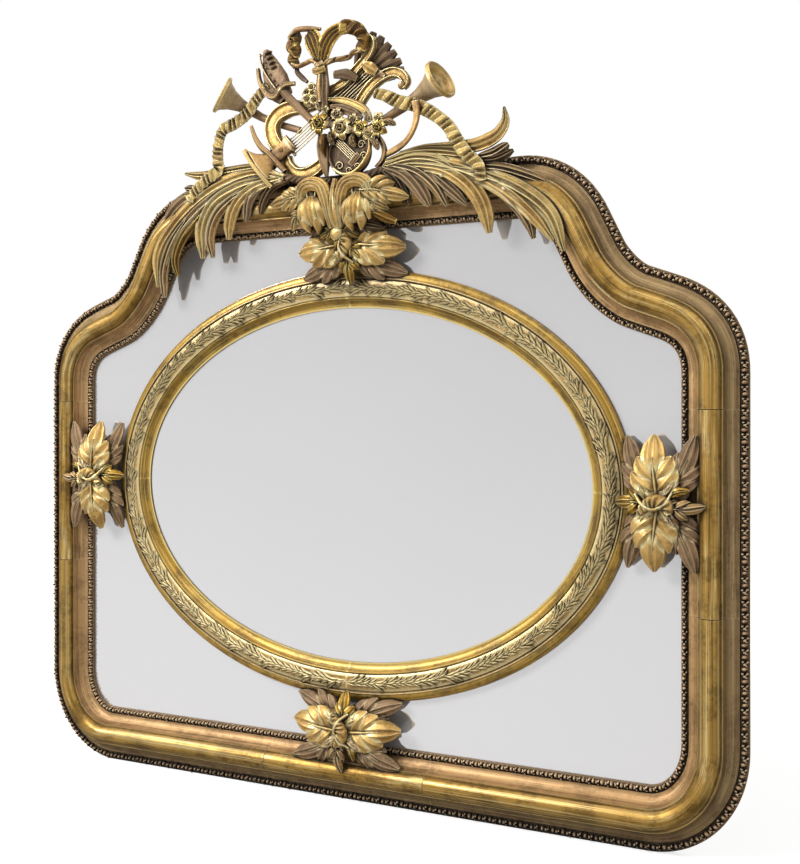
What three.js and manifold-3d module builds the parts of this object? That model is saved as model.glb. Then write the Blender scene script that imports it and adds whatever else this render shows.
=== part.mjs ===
// Trumeau mirror: a moulded gilt frame with shouldered top corners, an oval inner frame tied to it by four
// leaf clasps, and a carved trophy of music on the top rail.
// Millimetres. +X right, +Z up, the front faces -Y. The back of the frame lies in the plane Y = 0, and the
// origin is the middle of the bottom rail's back face.

import * as THREE from 'three';
import { mergeVertices } from 'three/addons/utils/BufferGeometryUtils.js';
import Module from 'manifold-3d';

const wasm = await Module();
wasm.setup();

// ---------------------------------------------------------------- Driving dimensions

const FIT_GAP = 0.3; // clearance between pieces that touch
const CUT_GAP = 0.35; // clearance round a piece that notches its neighbour

// Outline of the sight edge, where the glass begins.
const SIGHT_WIDTH = 1200;
const SIGHT_HEIGHT = 934;
const CORNER_WIDTH = 54;
const CORNER_HEIGHT = 74;
const SHOULDER_DROP = 269; // from the top sight edge down to where the shoulder leaves the stile
const EAR_WIDTH = 44; // the tight bend at the shoulder's outer end
const EAR_HEIGHT = 60;
const SHOULDER_RUN = 44; // the straight slope after it
const SHOULDER_RISE = 16.5;
const WAIST_WIDTH = 100; // the hollow bend
const WAIST_HEIGHT = 97.5;
const NECK_RUN = 26; // the steep straight
const NECK_RISE = 54;
const BROW_WIDTH = 56; // the bend into the top rail

// Section of the outer frame. Widths run outwards from the sight edge, depths forwards from the back.
const MOULDING_WIDTH = 106;
const REBATE_WIDTH = 8.5;
const LIP_THICKNESS = 3.5;
const INNER_BEAD_WIDTH = 12;
const INNER_BEAD_RISE = 8;
const INNER_COVE_WIDTH = 18;
const INNER_COVE_FOOT = 7; // cove's foot above the glass
const FILLET_RISE = 28; // top of the coves above the glass
const FILLET_WIDTH = 3.6;
const FILLET_STEP = 2;
const TORUS_WIDTH = 32;
const TORUS_RISE = 13.5;
const OUTER_COVE_WIDTH = 21;
const OUTER_COVE_FOOT = 6;
const OUTER_BEAD_RISE = 9;
const BEAD_SEAT_STEP = 2.5;
const BACK_DRAFT = 4; // the outer wall leans in by this much towards the back

// Glass and boards.
const GLASS_FRONT = 16; // front of the glass, forwards from the back plane
const GLASS_THICKNESS = 4;
const GLASS_OVERLAP = 7.5; // how far the glass runs under the lip
const BOARD_THICKNESS = 8;

// Oval frame.
const OVAL_SIDE_ROOM = 76; // glass left between the sight edge and the oval frame
const OVAL_BOTTOM_ROOM = 77.6;
const OVAL_TOP_ROOM = 70.4;
const OVAL_FRAME_WIDTH = 69;
const OVAL_GLASS_OVERLAP = 12;
const OVAL_COVE_WIDTH = 15;
const OVAL_COVE_RISE = 14;
const OVAL_GROOVE_WIDTH = 4;
const LAUREL_WIDTH = 31;
const LAUREL_SEAT_RISE = 14;
const LAUREL_THICKNESS = 8;
const OVAL_OGEE_TOP = 16;
const OVAL_LIP_THICKNESS = 2.5;
const OVAL_EDGE_THICKNESS = 4;
const OVAL_RIDGE = 1.5;

// Where the built-up lengths of the outer frame meet.
const CLASP_BLOCK_LENGTH = 326; // each stile and the bottom rail carry a block of this length
const LEFT_BLOCK_DROP = 8; // centre of each side block, measured down from the oval's centre
const RIGHT_BLOCK_DROP = 26;
const TOP_RAIL_LENGTH = 560;

// Leaf clasps.
const CLASP_REACH = 114; // from the bud to each long leaf's tip
const TOP_CLASP_SHIFT = 16;
const BOTTOM_CLASP_SHIFT = 6;
const LEFT_CLASP_LIFT = 5;
const RIGHT_CLASP_DROP = 12;

// Wall hangers.
const HANGER_HEIGHT = 640; // ring axis above the origin
const STRAP_WIDTH = 20;
const STRAP_LENGTH = 62;
const STRAP_THICKNESS = 1.6;
const RING_WIRE = 4;
const RING_INNER_WIDTH = 38;
const RING_INNER_HEIGHT = 27;
const RING_RUNNING_GAP = 0.4;
const EYE_WALL = 1.6;
const SCREW_RADIUS = 2;
const SCREW_LENGTH = 16;
const SCREW_HEAD_RADIUS = 4;
const SCREW_HEAD_RISE = 1.4;
const SCREW_DROPS = [16, 46]; // below the ring axis

// Crest brace.
const BRACE_WIDTH = 30;
const BRACE_THICKNESS = 10;
const BRACE_DROP = 90; // how far it runs down behind the top rail
const BRACE_LEDGE_DEPTH = 33; // it rests on the rail's top this far forwards
const BRACE_LEDGE_THICKNESS = 12;

// Carved pieces are drawn as lists of points and radii in one unit.
const CARVING_UNIT = 1;
const CLASP_DRAWN_ROOM = 76; // between the sight edge and the oval frame, as the clasps are drawn
const PALM_ROOT = 100; // half of the crest's middle, where nothing stretches
const PALM_DRAWN_REACH = 412; // to the end of the shoulder's hollow bend, as the palms are drawn

// ---------------------------------------------------------------- Sizes worked out from them

const halfSight = SIGHT_WIDTH / 2;
const sightBottom = MOULDING_WIDTH / 2;
const sightTop = sightBottom + SIGHT_HEIGHT;
const railTop = sightTop + MOULDING_WIDTH;
const ovalHalfWidth = halfSight - OVAL_SIDE_ROOM - OVAL_FRAME_WIDTH;
const ovalHalfHeight = (SIGHT_HEIGHT - OVAL_BOTTOM_ROOM - OVAL_TOP_ROOM) / 2 - OVAL_FRAME_WIDTH;
const ovalCentre = sightBottom + OVAL_BOTTOM_ROOM + OVAL_FRAME_WIDTH + ovalHalfHeight;
const lipBack = GLASS_FRONT + FIT_GAP;
const beadSeat = lipBack + LIP_THICKNESS;
const filletTop = GLASS_FRONT + FILLET_RISE;
const frameFront = filletTop + FILLET_STEP + TORUS_RISE;
const innerCoveStart = INNER_BEAD_WIDTH + FIT_GAP;
const torusStart = innerCoveStart + INNER_COVE_WIDTH + FILLET_WIDTH;
const outerFilletEnd = torusStart + TORUS_WIDTH + FILLET_WIDTH;
const outerCoveEnd = outerFilletEnd + OUTER_COVE_WIDTH;
const outerCoveFoot = GLASS_FRONT + OUTER_COVE_FOOT;
const outerBeadSeat = outerCoveFoot - BEAD_SEAT_STEP;

// ---------------------------------------------------------------- Solids

function closedMesh(positions, indices) {
  const geometry = new THREE.BufferGeometry();
  geometry.setAttribute('position', new THREE.Float32BufferAttribute(positions, 3));
  geometry.setIndex(indices);
  return geometry;
}

function signedVolume(geometry) {
  const place = geometry.getAttribute('position');
  const index = geometry.getIndex();
  const [a, b, c] = [new THREE.Vector3(), new THREE.Vector3(), new THREE.Vector3()];
  let volume = 0;
  for (let i = 0; i < index.count; i += 3) {
    a.fromBufferAttribute(place, index.getX(i));
    b.fromBufferAttribute(place, index.getX(i + 1));
    c.fromBufferAttribute(place, index.getX(i + 2));
    volume += a.dot(b.cross(c)) / 6;
  }
  return volume;
}

function facingOut(geometry) {
  if (signedVolume(geometry) < 0) {
    const index = geometry.getIndex();
    for (let i = 0; i < index.count; i += 3) {
      const first = index.getX(i);
      index.setX(i, index.getX(i + 1));
      index.setX(i + 1, first);
    }
  }
  return geometry;
}

function welded(geometry) {
  const bare = geometry.clone();
  bare.deleteAttribute('normal');
  bare.deleteAttribute('uv');
  return mergeVertices(bare, 1e-5);
}

function solidOf(geometry) {
  const shape = facingOut(welded(geometry));
  const vertProperties = new Float32Array(shape.getAttribute('position').array);
  const triVerts = new Uint32Array(shape.getIndex().array);
  return new wasm.Manifold(new wasm.Mesh({ numProp: 3, vertProperties, triVerts }));
}

function geometryOf(solid) {
  const mesh = solid.getMesh();
  return closedMesh(Array.from(mesh.vertProperties), Array.from(mesh.triVerts));
}

function joined(solids) {
  return solids.reduce((sum, next) => sum.add(next));
}

function cutBy(solid, cutters) {
  return cutters.reduce((rest, cutter) => rest.subtract(cutter), solid);
}

// Rings of equal count, joined by a skin and closed by flat caps over the given cap triangles.
function skin(rings, capTriangles) {
  const count = rings[0].length;
  const positions = rings.flat().flatMap((point) => [point.x, point.y, point.z]);
  const indices = [];
  for (let ring = 0; ring + 1 < rings.length; ring += 1) {
    for (let k = 0; k < count; k += 1) {
      const next = (k + 1) % count;
      const here = ring * count;
      const there = here + count;
      indices.push(here + k, here + next, there + next, here + k, there + next, there + k);
    }
  }
  const last = (rings.length - 1) * count;
  for (const [a, b, c] of capTriangles) {
    indices.push(b, a, c, last + a, last + b, last + c);
  }
  return facingOut(closedMesh(positions, indices));
}

// ---------------------------------------------------------------- Moulded lengths

// A station is a point of a path in the XZ plane with its outward normal.
function lineStations(from, to) {
  const along = to.clone().sub(from).normalize();
  const normal = new THREE.Vector2(along.y, -along.x);
  return [{ point: from, normal, along }, { point: to, normal, along }];
}

function curveStations(curve, from, to, steps) {
  return Array.from({ length: steps + 1 }, (_, i) => {
    const t = from + ((to - from) * i) / steps;
    const along = curve.getTangent(t);
    return { point: curve.getPoint(t), normal: new THREE.Vector2(along.y, -along.x), along };
  });
}

function chained(...runs) {
  const stations = [];
  for (const station of runs.flat()) {
    const before = stations[stations.length - 1];
    if (!before || before.point.distanceTo(station.point) > 1e-3) {
      stations.push(station);
    }
  }
  return stations;
}

function mirrored(stations) {
  const flip = (v) => new THREE.Vector2(-v.x, v.y);
  return stations.map(({ point, normal, along }) => {
    return { point: flip(point), normal: flip(normal), along: flip(along).negate() };
  }).reverse();
}

// Both ends drawn in by half a gap, so that neighbouring lengths don't touch.
function drawnIn(stations, gap = FIT_GAP) {
  return stations.map((station, i) => {
    const shift = i === 0 ? gap / 2 : i === stations.length - 1 ? -gap / 2 : 0;
    return { ...station, point: station.point.clone().addScaledVector(station.along, shift) };
  });
}

// A section is a list of [outwards, forwards] points, swept along the stations.
function moulding(section, stations) {
  const rings = stations.map(({ point, normal }) => section.map(([out, forward]) => {
    return new THREE.Vector3(point.x + normal.x * out, -forward, point.y + normal.y * out);
  }));
  const contour = section.map(([out, forward]) => new THREE.Vector2(out, forward));
  const turn = Math.sign(THREE.ShapeUtils.area(contour));
  const caps = THREE.ShapeUtils.triangulateShape(contour, []).map(([a, b, c]) => {
    const sameTurn = Math.sign(THREE.ShapeUtils.area([contour[a], contour[b], contour[c]])) === turn;
    return sameTurn ? [a, b, c] : [a, c, b];
  });
  return skin(rings, caps);
}

// The same section grown by a gap all round.
function grownSection(section, gap) {
  const points = section.map(([out, forward]) => new THREE.Vector2(out, forward));
  const turn = Math.sign(THREE.ShapeUtils.area(points));
  return points.map((point, i) => {
    const before = points[(i + points.length - 1) % points.length];
    const after = points[(i + 1) % points.length];
    const first = point.clone().sub(before).normalize();
    const second = after.clone().sub(point).normalize();
    const firstOut = new THREE.Vector2(first.y, -first.x).multiplyScalar(turn);
    const secondOut = new THREE.Vector2(second.y, -second.x).multiplyScalar(turn);
    const middle = firstOut.clone().add(secondOut).normalize();
    const reach = gap / Math.max(middle.dot(firstOut), 0.5);
    return [point.x + middle.x * reach, point.y + middle.y * reach];
  });
}

// Quarter of an ellipse from one point to another, bulging towards the given corner.
function quarter([x0, y0], [x1, y1], [cornerX, cornerY], steps) {
  return Array.from({ length: steps + 1 }, (_, i) => {
    const angle = (Math.PI / 2) * (i / steps);
    const a = 1 - Math.sin(angle);
    const b = 1 - Math.cos(angle);
    return [
      cornerX + (x0 - cornerX) * a + (x1 - cornerX) * b,
      cornerY + (y0 - cornerY) * a + (y1 - cornerY) * b];
  });
}

function halfRound(start, width, base, rise, steps) {
  return Array.from({ length: steps + 1 }, (_, i) => {
    const angle = Math.PI * (1 - i / steps);
    return [start + (width / 2) * (1 + Math.cos(angle)), base + rise * Math.sin(angle)];
  });
}

const innerCoveEnd = innerCoveStart + INNER_COVE_WIDTH;
const frameSection = [
  [0, lipBack],
  [0, beadSeat],
  [innerCoveStart, beadSeat],
  ...quarter(
    [innerCoveStart, GLASS_FRONT + INNER_COVE_FOOT], [innerCoveEnd, filletTop],
    [innerCoveEnd, GLASS_FRONT + INNER_COVE_FOOT], 2),
  [innerCoveEnd, filletTop + FILLET_STEP],
  ...halfRound(torusStart, TORUS_WIDTH, filletTop + FILLET_STEP, TORUS_RISE, 5),
  [outerFilletEnd, filletTop + FILLET_STEP],
  ...quarter([outerFilletEnd, filletTop], [outerCoveEnd, outerCoveFoot], [outerFilletEnd, outerCoveFoot], 2),
  [outerCoveEnd, outerBeadSeat],
  [MOULDING_WIDTH, outerBeadSeat],
  [MOULDING_WIDTH - BACK_DRAFT, 0],
  [REBATE_WIDTH, 0],
  [REBATE_WIDTH, lipBack],
];

const innerBeadSection = halfRound(0, INNER_BEAD_WIDTH, beadSeat + FIT_GAP, INNER_BEAD_RISE, 4);
const outerBeadStart = outerCoveEnd + FIT_GAP;
const outerBeadSection = halfRound(
  outerBeadStart, MOULDING_WIDTH - outerBeadStart, outerBeadSeat + FIT_GAP, OUTER_BEAD_RISE, 4);

// ---------------------------------------------------------------- Outline of the outer frame

const at2 = (x, z) => new THREE.Vector2(x, z);
const earStart = at2(halfSight, sightTop - SHOULDER_DROP);
const earEnd = earStart.clone().add(at2(-EAR_WIDTH, EAR_HEIGHT));
const waistStart = earEnd.clone().add(at2(-SHOULDER_RUN, SHOULDER_RISE));
const waistEnd = waistStart.clone().add(at2(-WAIST_WIDTH, WAIST_HEIGHT));
const browStart = waistEnd.clone().add(at2(-NECK_RUN, NECK_RISE));
const browEnd = at2(browStart.x - BROW_WIDTH, sightTop);
const slope = at2(-SHOULDER_RUN, SHOULDER_RISE).normalize();
const neck = at2(-NECK_RUN, NECK_RISE).normalize();
const towards = (point, direction, length) => point.clone().addScaledVector(direction, length);

const ARC_HANDLE = 0.55; // handle of a cubic that follows a quarter arc
const cornerStart = at2(halfSight - CORNER_WIDTH, sightBottom);
const cornerEnd = at2(halfSight, sightBottom + CORNER_HEIGHT);
const corner = new THREE.CubicBezierCurve(
  cornerStart, cornerStart.clone().add(at2(CORNER_WIDTH * ARC_HANDLE, 0)),
  cornerEnd.clone().add(at2(0, -CORNER_HEIGHT * ARC_HANDLE)), cornerEnd);
const ear = new THREE.CubicBezierCurve(
  earStart, towards(earStart, at2(0, 1), EAR_HEIGHT * 0.65),
  towards(earEnd, slope, -EAR_WIDTH * 0.65), earEnd);
const waist = new THREE.CubicBezierCurve(
  waistStart, towards(waistStart, slope, WAIST_WIDTH * 0.45),
  towards(waistEnd, neck, -WAIST_HEIGHT * 0.41), waistEnd);
const brow = new THREE.CubicBezierCurve(
  browStart, towards(browStart, neck, BROW_WIDTH * 0.45),
  towards(browEnd, at2(1, 0), BROW_WIDTH * 0.5), browEnd);

function shoulderStations() {
  return chained(
    curveStations(ear, 0, 1, 4), curveStations(waist, 0, 1, 5), curveStations(brow, 0, 1, 4));
}

const halfBlock = CLASP_BLOCK_LENGTH / 2;
const halfTopRail = TOP_RAIL_LENGTH / 2;

// The right-hand lengths, with their block's centre height, which differs a little from side to side.
function sideLengths(blockCentre) {
  const low = blockCentre - halfBlock;
  const high = blockCentre + halfBlock;
  return {
    corner: chained(
      lineStations(at2(halfBlock, sightBottom), cornerStart), curveStations(corner, 0, 1, 6),
      lineStations(cornerEnd, at2(halfSight, low))),
    stile: lineStations(at2(halfSight, low), at2(halfSight, high)),
    shoulder: chained(
      lineStations(at2(halfSight, high), earStart), shoulderStations(),
      lineStations(browEnd, at2(halfTopRail, sightTop))),
  };
}

const rightLengths = sideLengths(ovalCentre - RIGHT_BLOCK_DROP);
const leftLengths = sideLengths(ovalCentre - LEFT_BLOCK_DROP);
const frameLengths = {
  bottom_rail: lineStations(at2(-halfBlock, sightBottom), at2(halfBlock, sightBottom)),
  bottom_right_corner: rightLengths.corner,
  right_stile: rightLengths.stile,
  right_shoulder: rightLengths.shoulder,
  top_rail: lineStations(at2(halfTopRail, sightTop), at2(-halfTopRail, sightTop)),
  left_shoulder: mirrored(leftLengths.shoulder),
  left_stile: mirrored(leftLengths.stile),
  bottom_left_corner: mirrored(leftLengths.corner),
};

// The beads meet at the middle of each lower corner and at the ends of the top rail's straight.
const sideBead = chained(
  curveStations(corner, 0.5, 1, 3), lineStations(cornerEnd, earStart), shoulderStations());
const bottomBead = chained(
  mirrored(chained(lineStations(at2(0, sightBottom), cornerStart), curveStations(corner, 0, 0.5, 3))),
  lineStations(at2(0, sightBottom), cornerStart), curveStations(corner, 0, 0.5, 3));
const beadLengths = {
  bottom: bottomBead,
  right: sideBead,
  top: lineStations(browEnd, at2(-browEnd.x, sightTop)),
  left: mirrored(sideBead),
};

function outlinePoints(offset) {
  const half = chained(
    lineStations(at2(0, sightBottom), cornerStart), curveStations(corner, 0, 1, 6),
    lineStations(cornerEnd, earStart), shoulderStations(), lineStations(browEnd, at2(0, sightTop)));
  const whole = chained(half, mirrored(half).slice(1));
  const points = whole.map(({ point, normal }) => point.clone().addScaledVector(normal, offset));
  return points.slice(0, -1);
}

// ---------------------------------------------------------------- Flat plates in the frame's plane

function plate(points, back, front, holes = []) {
  const shape = new THREE.Shape(points);
  shape.holes = holes.map((hole) => new THREE.Path(hole));
  const geometry = new THREE.ExtrudeGeometry(shape, { depth: front - back, bevelEnabled: false });
  geometry.rotateX(Math.PI / 2);
  geometry.translate(0, -back, 0);
  return geometry;
}

function ellipsePoints(offset, steps) {
  const curve = new THREE.EllipseCurve(
    0, ovalCentre, ovalHalfWidth + offset, ovalHalfHeight + offset, 0, 2 * Math.PI);
  return curve.getPoints(steps).slice(0, -1);
}

function block(low, high) {
  const size = high.map((value, i) => value - low[i]);
  const geometry = new THREE.BoxGeometry(...size);
  geometry.translate(...low.map((value, i) => value + size[i] / 2));
  return geometry;
}

// ---------------------------------------------------------------- Carved strands

// A strand is a swelling rod along a smooth curve: its radius is measured in the frame's plane and its
// depth across it, both in millimetres along its length from 0 to 1. With three sides it is a leaf with a
// flat back and a ridge in front. Growth moves its faces outwards.
const rod = (radius) => () => radius;
const blade = (radius, tip = 0.12) => (t) => {
  return radius * Math.max(Math.sin(Math.PI * (0.12 + 0.88 * t)) ** 0.7, tip);
};
const taper = (start, end) => (t) => start + (end - start) * t;
const lobed = (radius, lobes) => (t) => {
  const swell = Math.sin(Math.PI * Math.min(0.14 + 0.86 * t, 0.985)) ** 0.75;
  const notch = 1 - 0.2 * Math.abs(Math.sin(Math.PI * lobes * t)) ** 0.6;
  return radius * swell * notch;
};
const stepped = (values) => (t) => {
  const place = Math.min(t * (values.length - 1), values.length - 1.0001);
  const i = Math.floor(place);
  return values[i] + (values[i + 1] - values[i]) * (place - i);
};

const FORWARD = new THREE.Vector3(0, -1, 0);

function strand({ points, radius, depth = radius, steps = 8, sides = 6 }, grow = 0) {
  const curve = new THREE.CatmullRomCurve3(points, false, 'centripetal');
  const rings = [];
  const spread = grow / Math.cos(Math.PI / sides);
  const turned = sides === 3 ? Math.PI / 2 : 0;
  for (let i = 0; i <= steps; i += 1) {
    const t = i / steps;
    const tangent = curve.getTangentAt(t);
    const centre = curve.getPointAt(t);
    const shift = i === 0 ? -grow : i === steps ? grow : 0;
    centre.addScaledVector(tangent, shift);
    const across = tangent.clone().cross(FORWARD).normalize();
    const up = across.clone().cross(tangent).normalize();
    rings.push(Array.from({ length: sides }, (_, k) => {
      const angle = turned + (2 * Math.PI * k) / sides;
      return centre.clone()
        .addScaledVector(across, (radius(t) * CARVING_UNIT + spread) * Math.cos(angle))
        .addScaledVector(up, (depth(t) * CARVING_UNIT + spread) * Math.sin(angle));
    }));
  }
  const fan = Array.from({ length: sides - 2 }, (_, k) => [0, k + 1, k + 2]);
  return solidOf(skin(rings, fan));
}

function strands(specs, grow = 0) {
  return joined(specs.map((spec) => strand(spec, grow)));
}

// ---------------------------------------------------------------- Crest

const FROND_SPREAD = 1.3; // a frond's three-sided leaf is wider than its midrib figure
const FROND_DEPTH = 6.5;

// Crest points are [across, above the top rail's middle line, forwards from the front of its half round].
const railMiddle = sightTop + MOULDING_WIDTH / 2;
const crestPoint = ([x, up, forward]) => {
  return new THREE.Vector3(x, -forward, up).multiplyScalar(CARVING_UNIT)
    .add(new THREE.Vector3(0, -frameFront, railMiddle));
};
const crestStrand = (points, radius, depth, steps, sides) => {
  return { points: points.map(crestPoint), radius, depth, steps, sides };
};
const flipX = (spec) => ({ ...spec, points: spec.points.map((p) => new THREE.Vector3(-p.x, p.y, p.z)) });

const scrollHalf = [
  crestStrand(
    [[4, -52, 12], [12, -20, 24], [18, 14, 32], [42, 35, 34], [68, 14, 34], [56, -14, 34], [34, -4, 38],
      [44, 12, 40]],
    stepped([9, 11, 10, 10, 10, 9, 8, 6]), stepped([10, 13, 12, 12, 12, 11, 10, 9]), 14),
  crestStrand([[26, 0, 20], [78, 6, 16], [118, -4, 12], [148, -8, 8]], lobed(28, 3), blade(9), 7, 3),
  crestStrand([[16, -6, 20], [64, -20, 14], [92, -32, 8], [112, -42, 4]], lobed(20, 2), blade(8), 5, 3),
  crestStrand([[14, -8, 20], [24, -26, 16], [36, -46, 6]], lobed(21, 2), blade(8), 5, 3),
];
const scrollSpecs = [
  ...scrollHalf,
  ...scrollHalf.map(flipX),
  crestStrand([[0, 36, 14], [0, 0, 15], [0, -54, 10]], stepped([10, 16, 20, 14]), rod(14), 6),
];

// The lyre leans over to the right: two arms that start as loops beside the flared foot.
const lyreSpecs = [
  crestStrand(
    [[-118, 102, -10], [-144, 112, -10], [-156, 140, -10], [-142, 171, -10], [-109, 180, -10], [-62, 180, -10],
      [-19, 203, -10], [31, 232, -10], [60, 262, -10], [62, 289, -10], [46, 297, -10], [36, 286, -10]],
    stepped([9, 11, 11, 11, 9, 7, 7, 8, 8, 7, 6, 5]), rod(8), 20),
  crestStrand(
    [[-112, 92, -10], [-106, 70, -10], [-76, 54, -10], [-44, 62, -10], [-9, 96, -10], [16, 132, -10],
      [36, 168, -10], [66, 207, -10], [98, 223, -10], [124, 217, -10], [130, 196, -10]],
    stepped([9, 10, 10, 9, 7, 7, 7, 8, 8, 7, 6]), rod(8), 18),
  crestStrand([[52, 250, -10], [86, 217, -10]], rod(5), rod(6), 1),
  crestStrand(
    [[-100, 108, -10], [-120, 95, -10], [-139, 83, -10], [-154, 78, -10], [-166, 70, -10]],
    stepped([12, 15, 13, 25, 46]), stepped([9, 12, 10, 14, 22]), 6, 8),
];
const LYRE_DEPTH = -10;
const STRING_COUNT = 5;
const STRING_SPACING = 7;
const stringStart = new THREE.Vector2(-97, 112);
const stringEnd = new THREE.Vector2(62, 226);
const stringAlong = stringEnd.clone().sub(stringStart).normalize();
const stringAcross = new THREE.Vector2(-stringAlong.y, stringAlong.x);
const beside = (point, offset) => {
  const moved = point.clone().addScaledVector(stringAcross, offset);
  return [moved.x, moved.y, LYRE_DEPTH];
};
const COMB_END = 2; // the combs stand past the outer strings
const halfComb = ((STRING_COUNT - 1) * STRING_SPACING) / 2 + COMB_END;
const stringSpecs = [
  ...Array.from({ length: STRING_COUNT }, (_, i) => {
    const offset = (i - (STRING_COUNT - 1) / 2) * STRING_SPACING;
    return crestStrand([beside(stringStart, offset), beside(stringEnd, offset)], rod(1.4), rod(1.4), 1, 4);
  }),
  crestStrand([beside(stringStart, -halfComb), beside(stringStart, halfComb)], rod(3), rod(4), 1, 4),
  crestStrand([beside(stringEnd, -halfComb), beside(stringEnd, halfComb)], rod(3), rod(4), 1, 4),
];

const leftTrumpetTube = [[-96, 140, -24.5], [-165, 166, -24.5], [-218, 196, -24.5], [-262, 222, -24.5]];
const rightTrumpetTube = [[-26, 96, -24.5], [86, 144, -24.5], [148, 174, -24.5], [188, 194, -24.5]];
const bellRadii = [6.5, 6.5, 7, 7.5, 8.5, 11, 17, 35];
const bellBore = [3, 3, 3, 3, 4, 7, 13, 32];
const trumpetSpec = (points) => crestStrand(points, stepped(bellRadii), stepped(bellRadii), 9, 9);
const boreSpec = (points) => {
  const [near, far] = points.slice(-2);
  const inner = near.map((value, i) => value * 0.7 + far[i] * 0.3);
  const past = far.map((value, i) => value + (value - near[i]) * 0.02);
  return crestStrand([inner, past], stepped(bellBore.slice(-3)), stepped(bellBore.slice(-3)), 3, 9);
};

const mandolinHeadSpecs = [
  crestStrand([[-112, 196, -18], [-128, 216, -18], [-141, 242, -18], [-152, 266, -18], [-163, 292, -18]],
    stepped([12, 22, 21, 16, 8]), stepped([9, 10, 10, 9, 7]), 6, 8),
  crestStrand([[-130, 208, -18], [-100, 190, -17], [-64, 164, -17]], taper(12, 7), taper(9, 7), 4),
];

const shellBase = [20, 205, -26];
const shellSpecs = [[42, 301], [67, 291], [89, 272], [105, 249], [113, 226]].map(([x, up]) => {
  return crestStrand([shellBase, [(shellBase[0] + x) / 2, (shellBase[1] + up) / 2, -24], [x, up, -27]],
    stepped([6, 10, 12, 8]), stepped([6, 8, 8, 5]), 3, 5);
});

const quiverSpecs = [
  crestStrand(
    [[-40, 236, 6], [-38, 200, 6], [-34, 160, 6]], stepped([13, 11, 11, 8]), stepped([8.5, 8, 8, 7]), 5, 8),
];

const MANDOLIN_RADIUS = 43;
const MANDOLIN_RIM = 6;
const MANDOLIN_DEPTH = 16;
const MANDOLIN_BEVEL = 2;
const mandolinCentre = [25, 80, 6];

function mandolinBody(grow = 0) {
  const [x, up, forward] = mandolinCentre;
  const half = MANDOLIN_DEPTH / 2 + grow;
  const bevel = MANDOLIN_BEVEL;
  const outer = MANDOLIN_RADIUS + grow;
  const inner = MANDOLIN_RADIUS - MANDOLIN_RIM - grow;
  const profile = [
    [0, -half + bevel], [outer - bevel, -half], [outer, 0], [outer - bevel, half],
    [inner, half], [inner, bevel], [0, bevel]];
  const shape = new THREE.LatheGeometry(profile.map(([r, h]) => at2(r, h)), 18);
  const place = crestPoint([x, up, forward]);
  shape.rotateX(Math.PI);
  shape.translate(place.x, place.y, place.z);
  return solidOf(shape);
}

const roseCentres = [
  [-31, 140, 18, 20], [0, 148, 16, 14], [12, 124, 20, 21], [40, 132, 18, 15],
  [62, 110, 18, 19], [76, 132, 14, 13], [90, 115, 14, 15]];
const roseSpecs = [
  ...roseCentres.map(([x, up, forward, radius]) => {
    const bloom = stepped([0.25, 0.8, 1, 0.8, 0.25].map((share) => share * radius));
    const swell = stepped([0.25, 0.7, 0.85, 0.7, 0.25].map((share) => share * radius * 0.8));
    const axis = [[x - radius, up, forward], [x, up, forward], [x + radius, up, forward]];
    return crestStrand(axis, bloom, swell, 4, 6);
  }),
  crestStrand([[-31, 140, 16], [12, 126, 16], [62, 112, 16], [90, 115, 14]], rod(7), rod(6), 6),
  crestStrand(
    [[-29, 134, 14], [-28, 96, 14], [-27, 46, 14]], stepped([5, 7, 8, 12, 13]), stepped([5, 6, 6, 9, 9]), 6),
];

const bowSpecs = [
  crestStrand(
    [[-41, 248, 2], [-69, 254, 2], [-95, 262, 2], [-104, 286, 2], [-95, 305, 2], [-65, 310, 2], [-41, 298, 2],
      [-35, 266, 2]],
    stepped([7, 10, 12, 13, 13, 13, 12, 8]), rod(7), 14),
  crestStrand(
    [[-35, 250, 2], [-5, 254, 2], [25, 254, 2], [43, 270, 2], [44, 291, 2], [23, 309, 2], [-5, 310, 2],
      [-25, 296, 2], [-33, 264, 2]],
    stepped([7, 8, 9, 11, 12, 13, 13, 12, 8]), rod(7), 14),
  crestStrand([[-52, 247, 2], [-37, 246, 3], [-21, 245, 2]], stepped([11, 10, 8]), stepped([11, 7, 8]), 6, 8),
];

const leftRibbonSpecs = [
  crestStrand(
    [[-156, 228, -5], [-180, 202, -3], [-200, 178, -2], [-225, 163, 0], [-251, 152, 2], [-260, 126, 4],
      [-259, 96, 8], [-254, 76, 13], [-277, 60, 16], [-304, 40, 16], [-320, 22, 15]],
    rod(11.5), rod(3.2), 20),
];
const rightRibbonSpecs = [
  crestStrand(
    [[72, 182, 2], [92, 176, 2], [116, 163, 0], [151, 152, 0], [186, 132, 2], [214, 108, 4], [233, 80, 10],
      [252, 55, 16], [275, 31, 16], [280, 5, 15]],
    rod(11.5), rod(3.2), 18),
];

const frond = (points, width, steps = 5) => {
  return crestStrand(points, blade(width * FROND_SPREAD, 0.4), blade(FROND_DEPTH, 0.5), steps, 3);
};
const stalk = (points) => crestStrand(points, rod(6.5), rod(6), 4, 5);
const root = (side) => {
  return crestStrand([[side * 16, 34, 6], [side * 66, 38, 6], [side * 124, 54, 6]], rod(8), rod(6.5), 4, 5);
};
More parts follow.
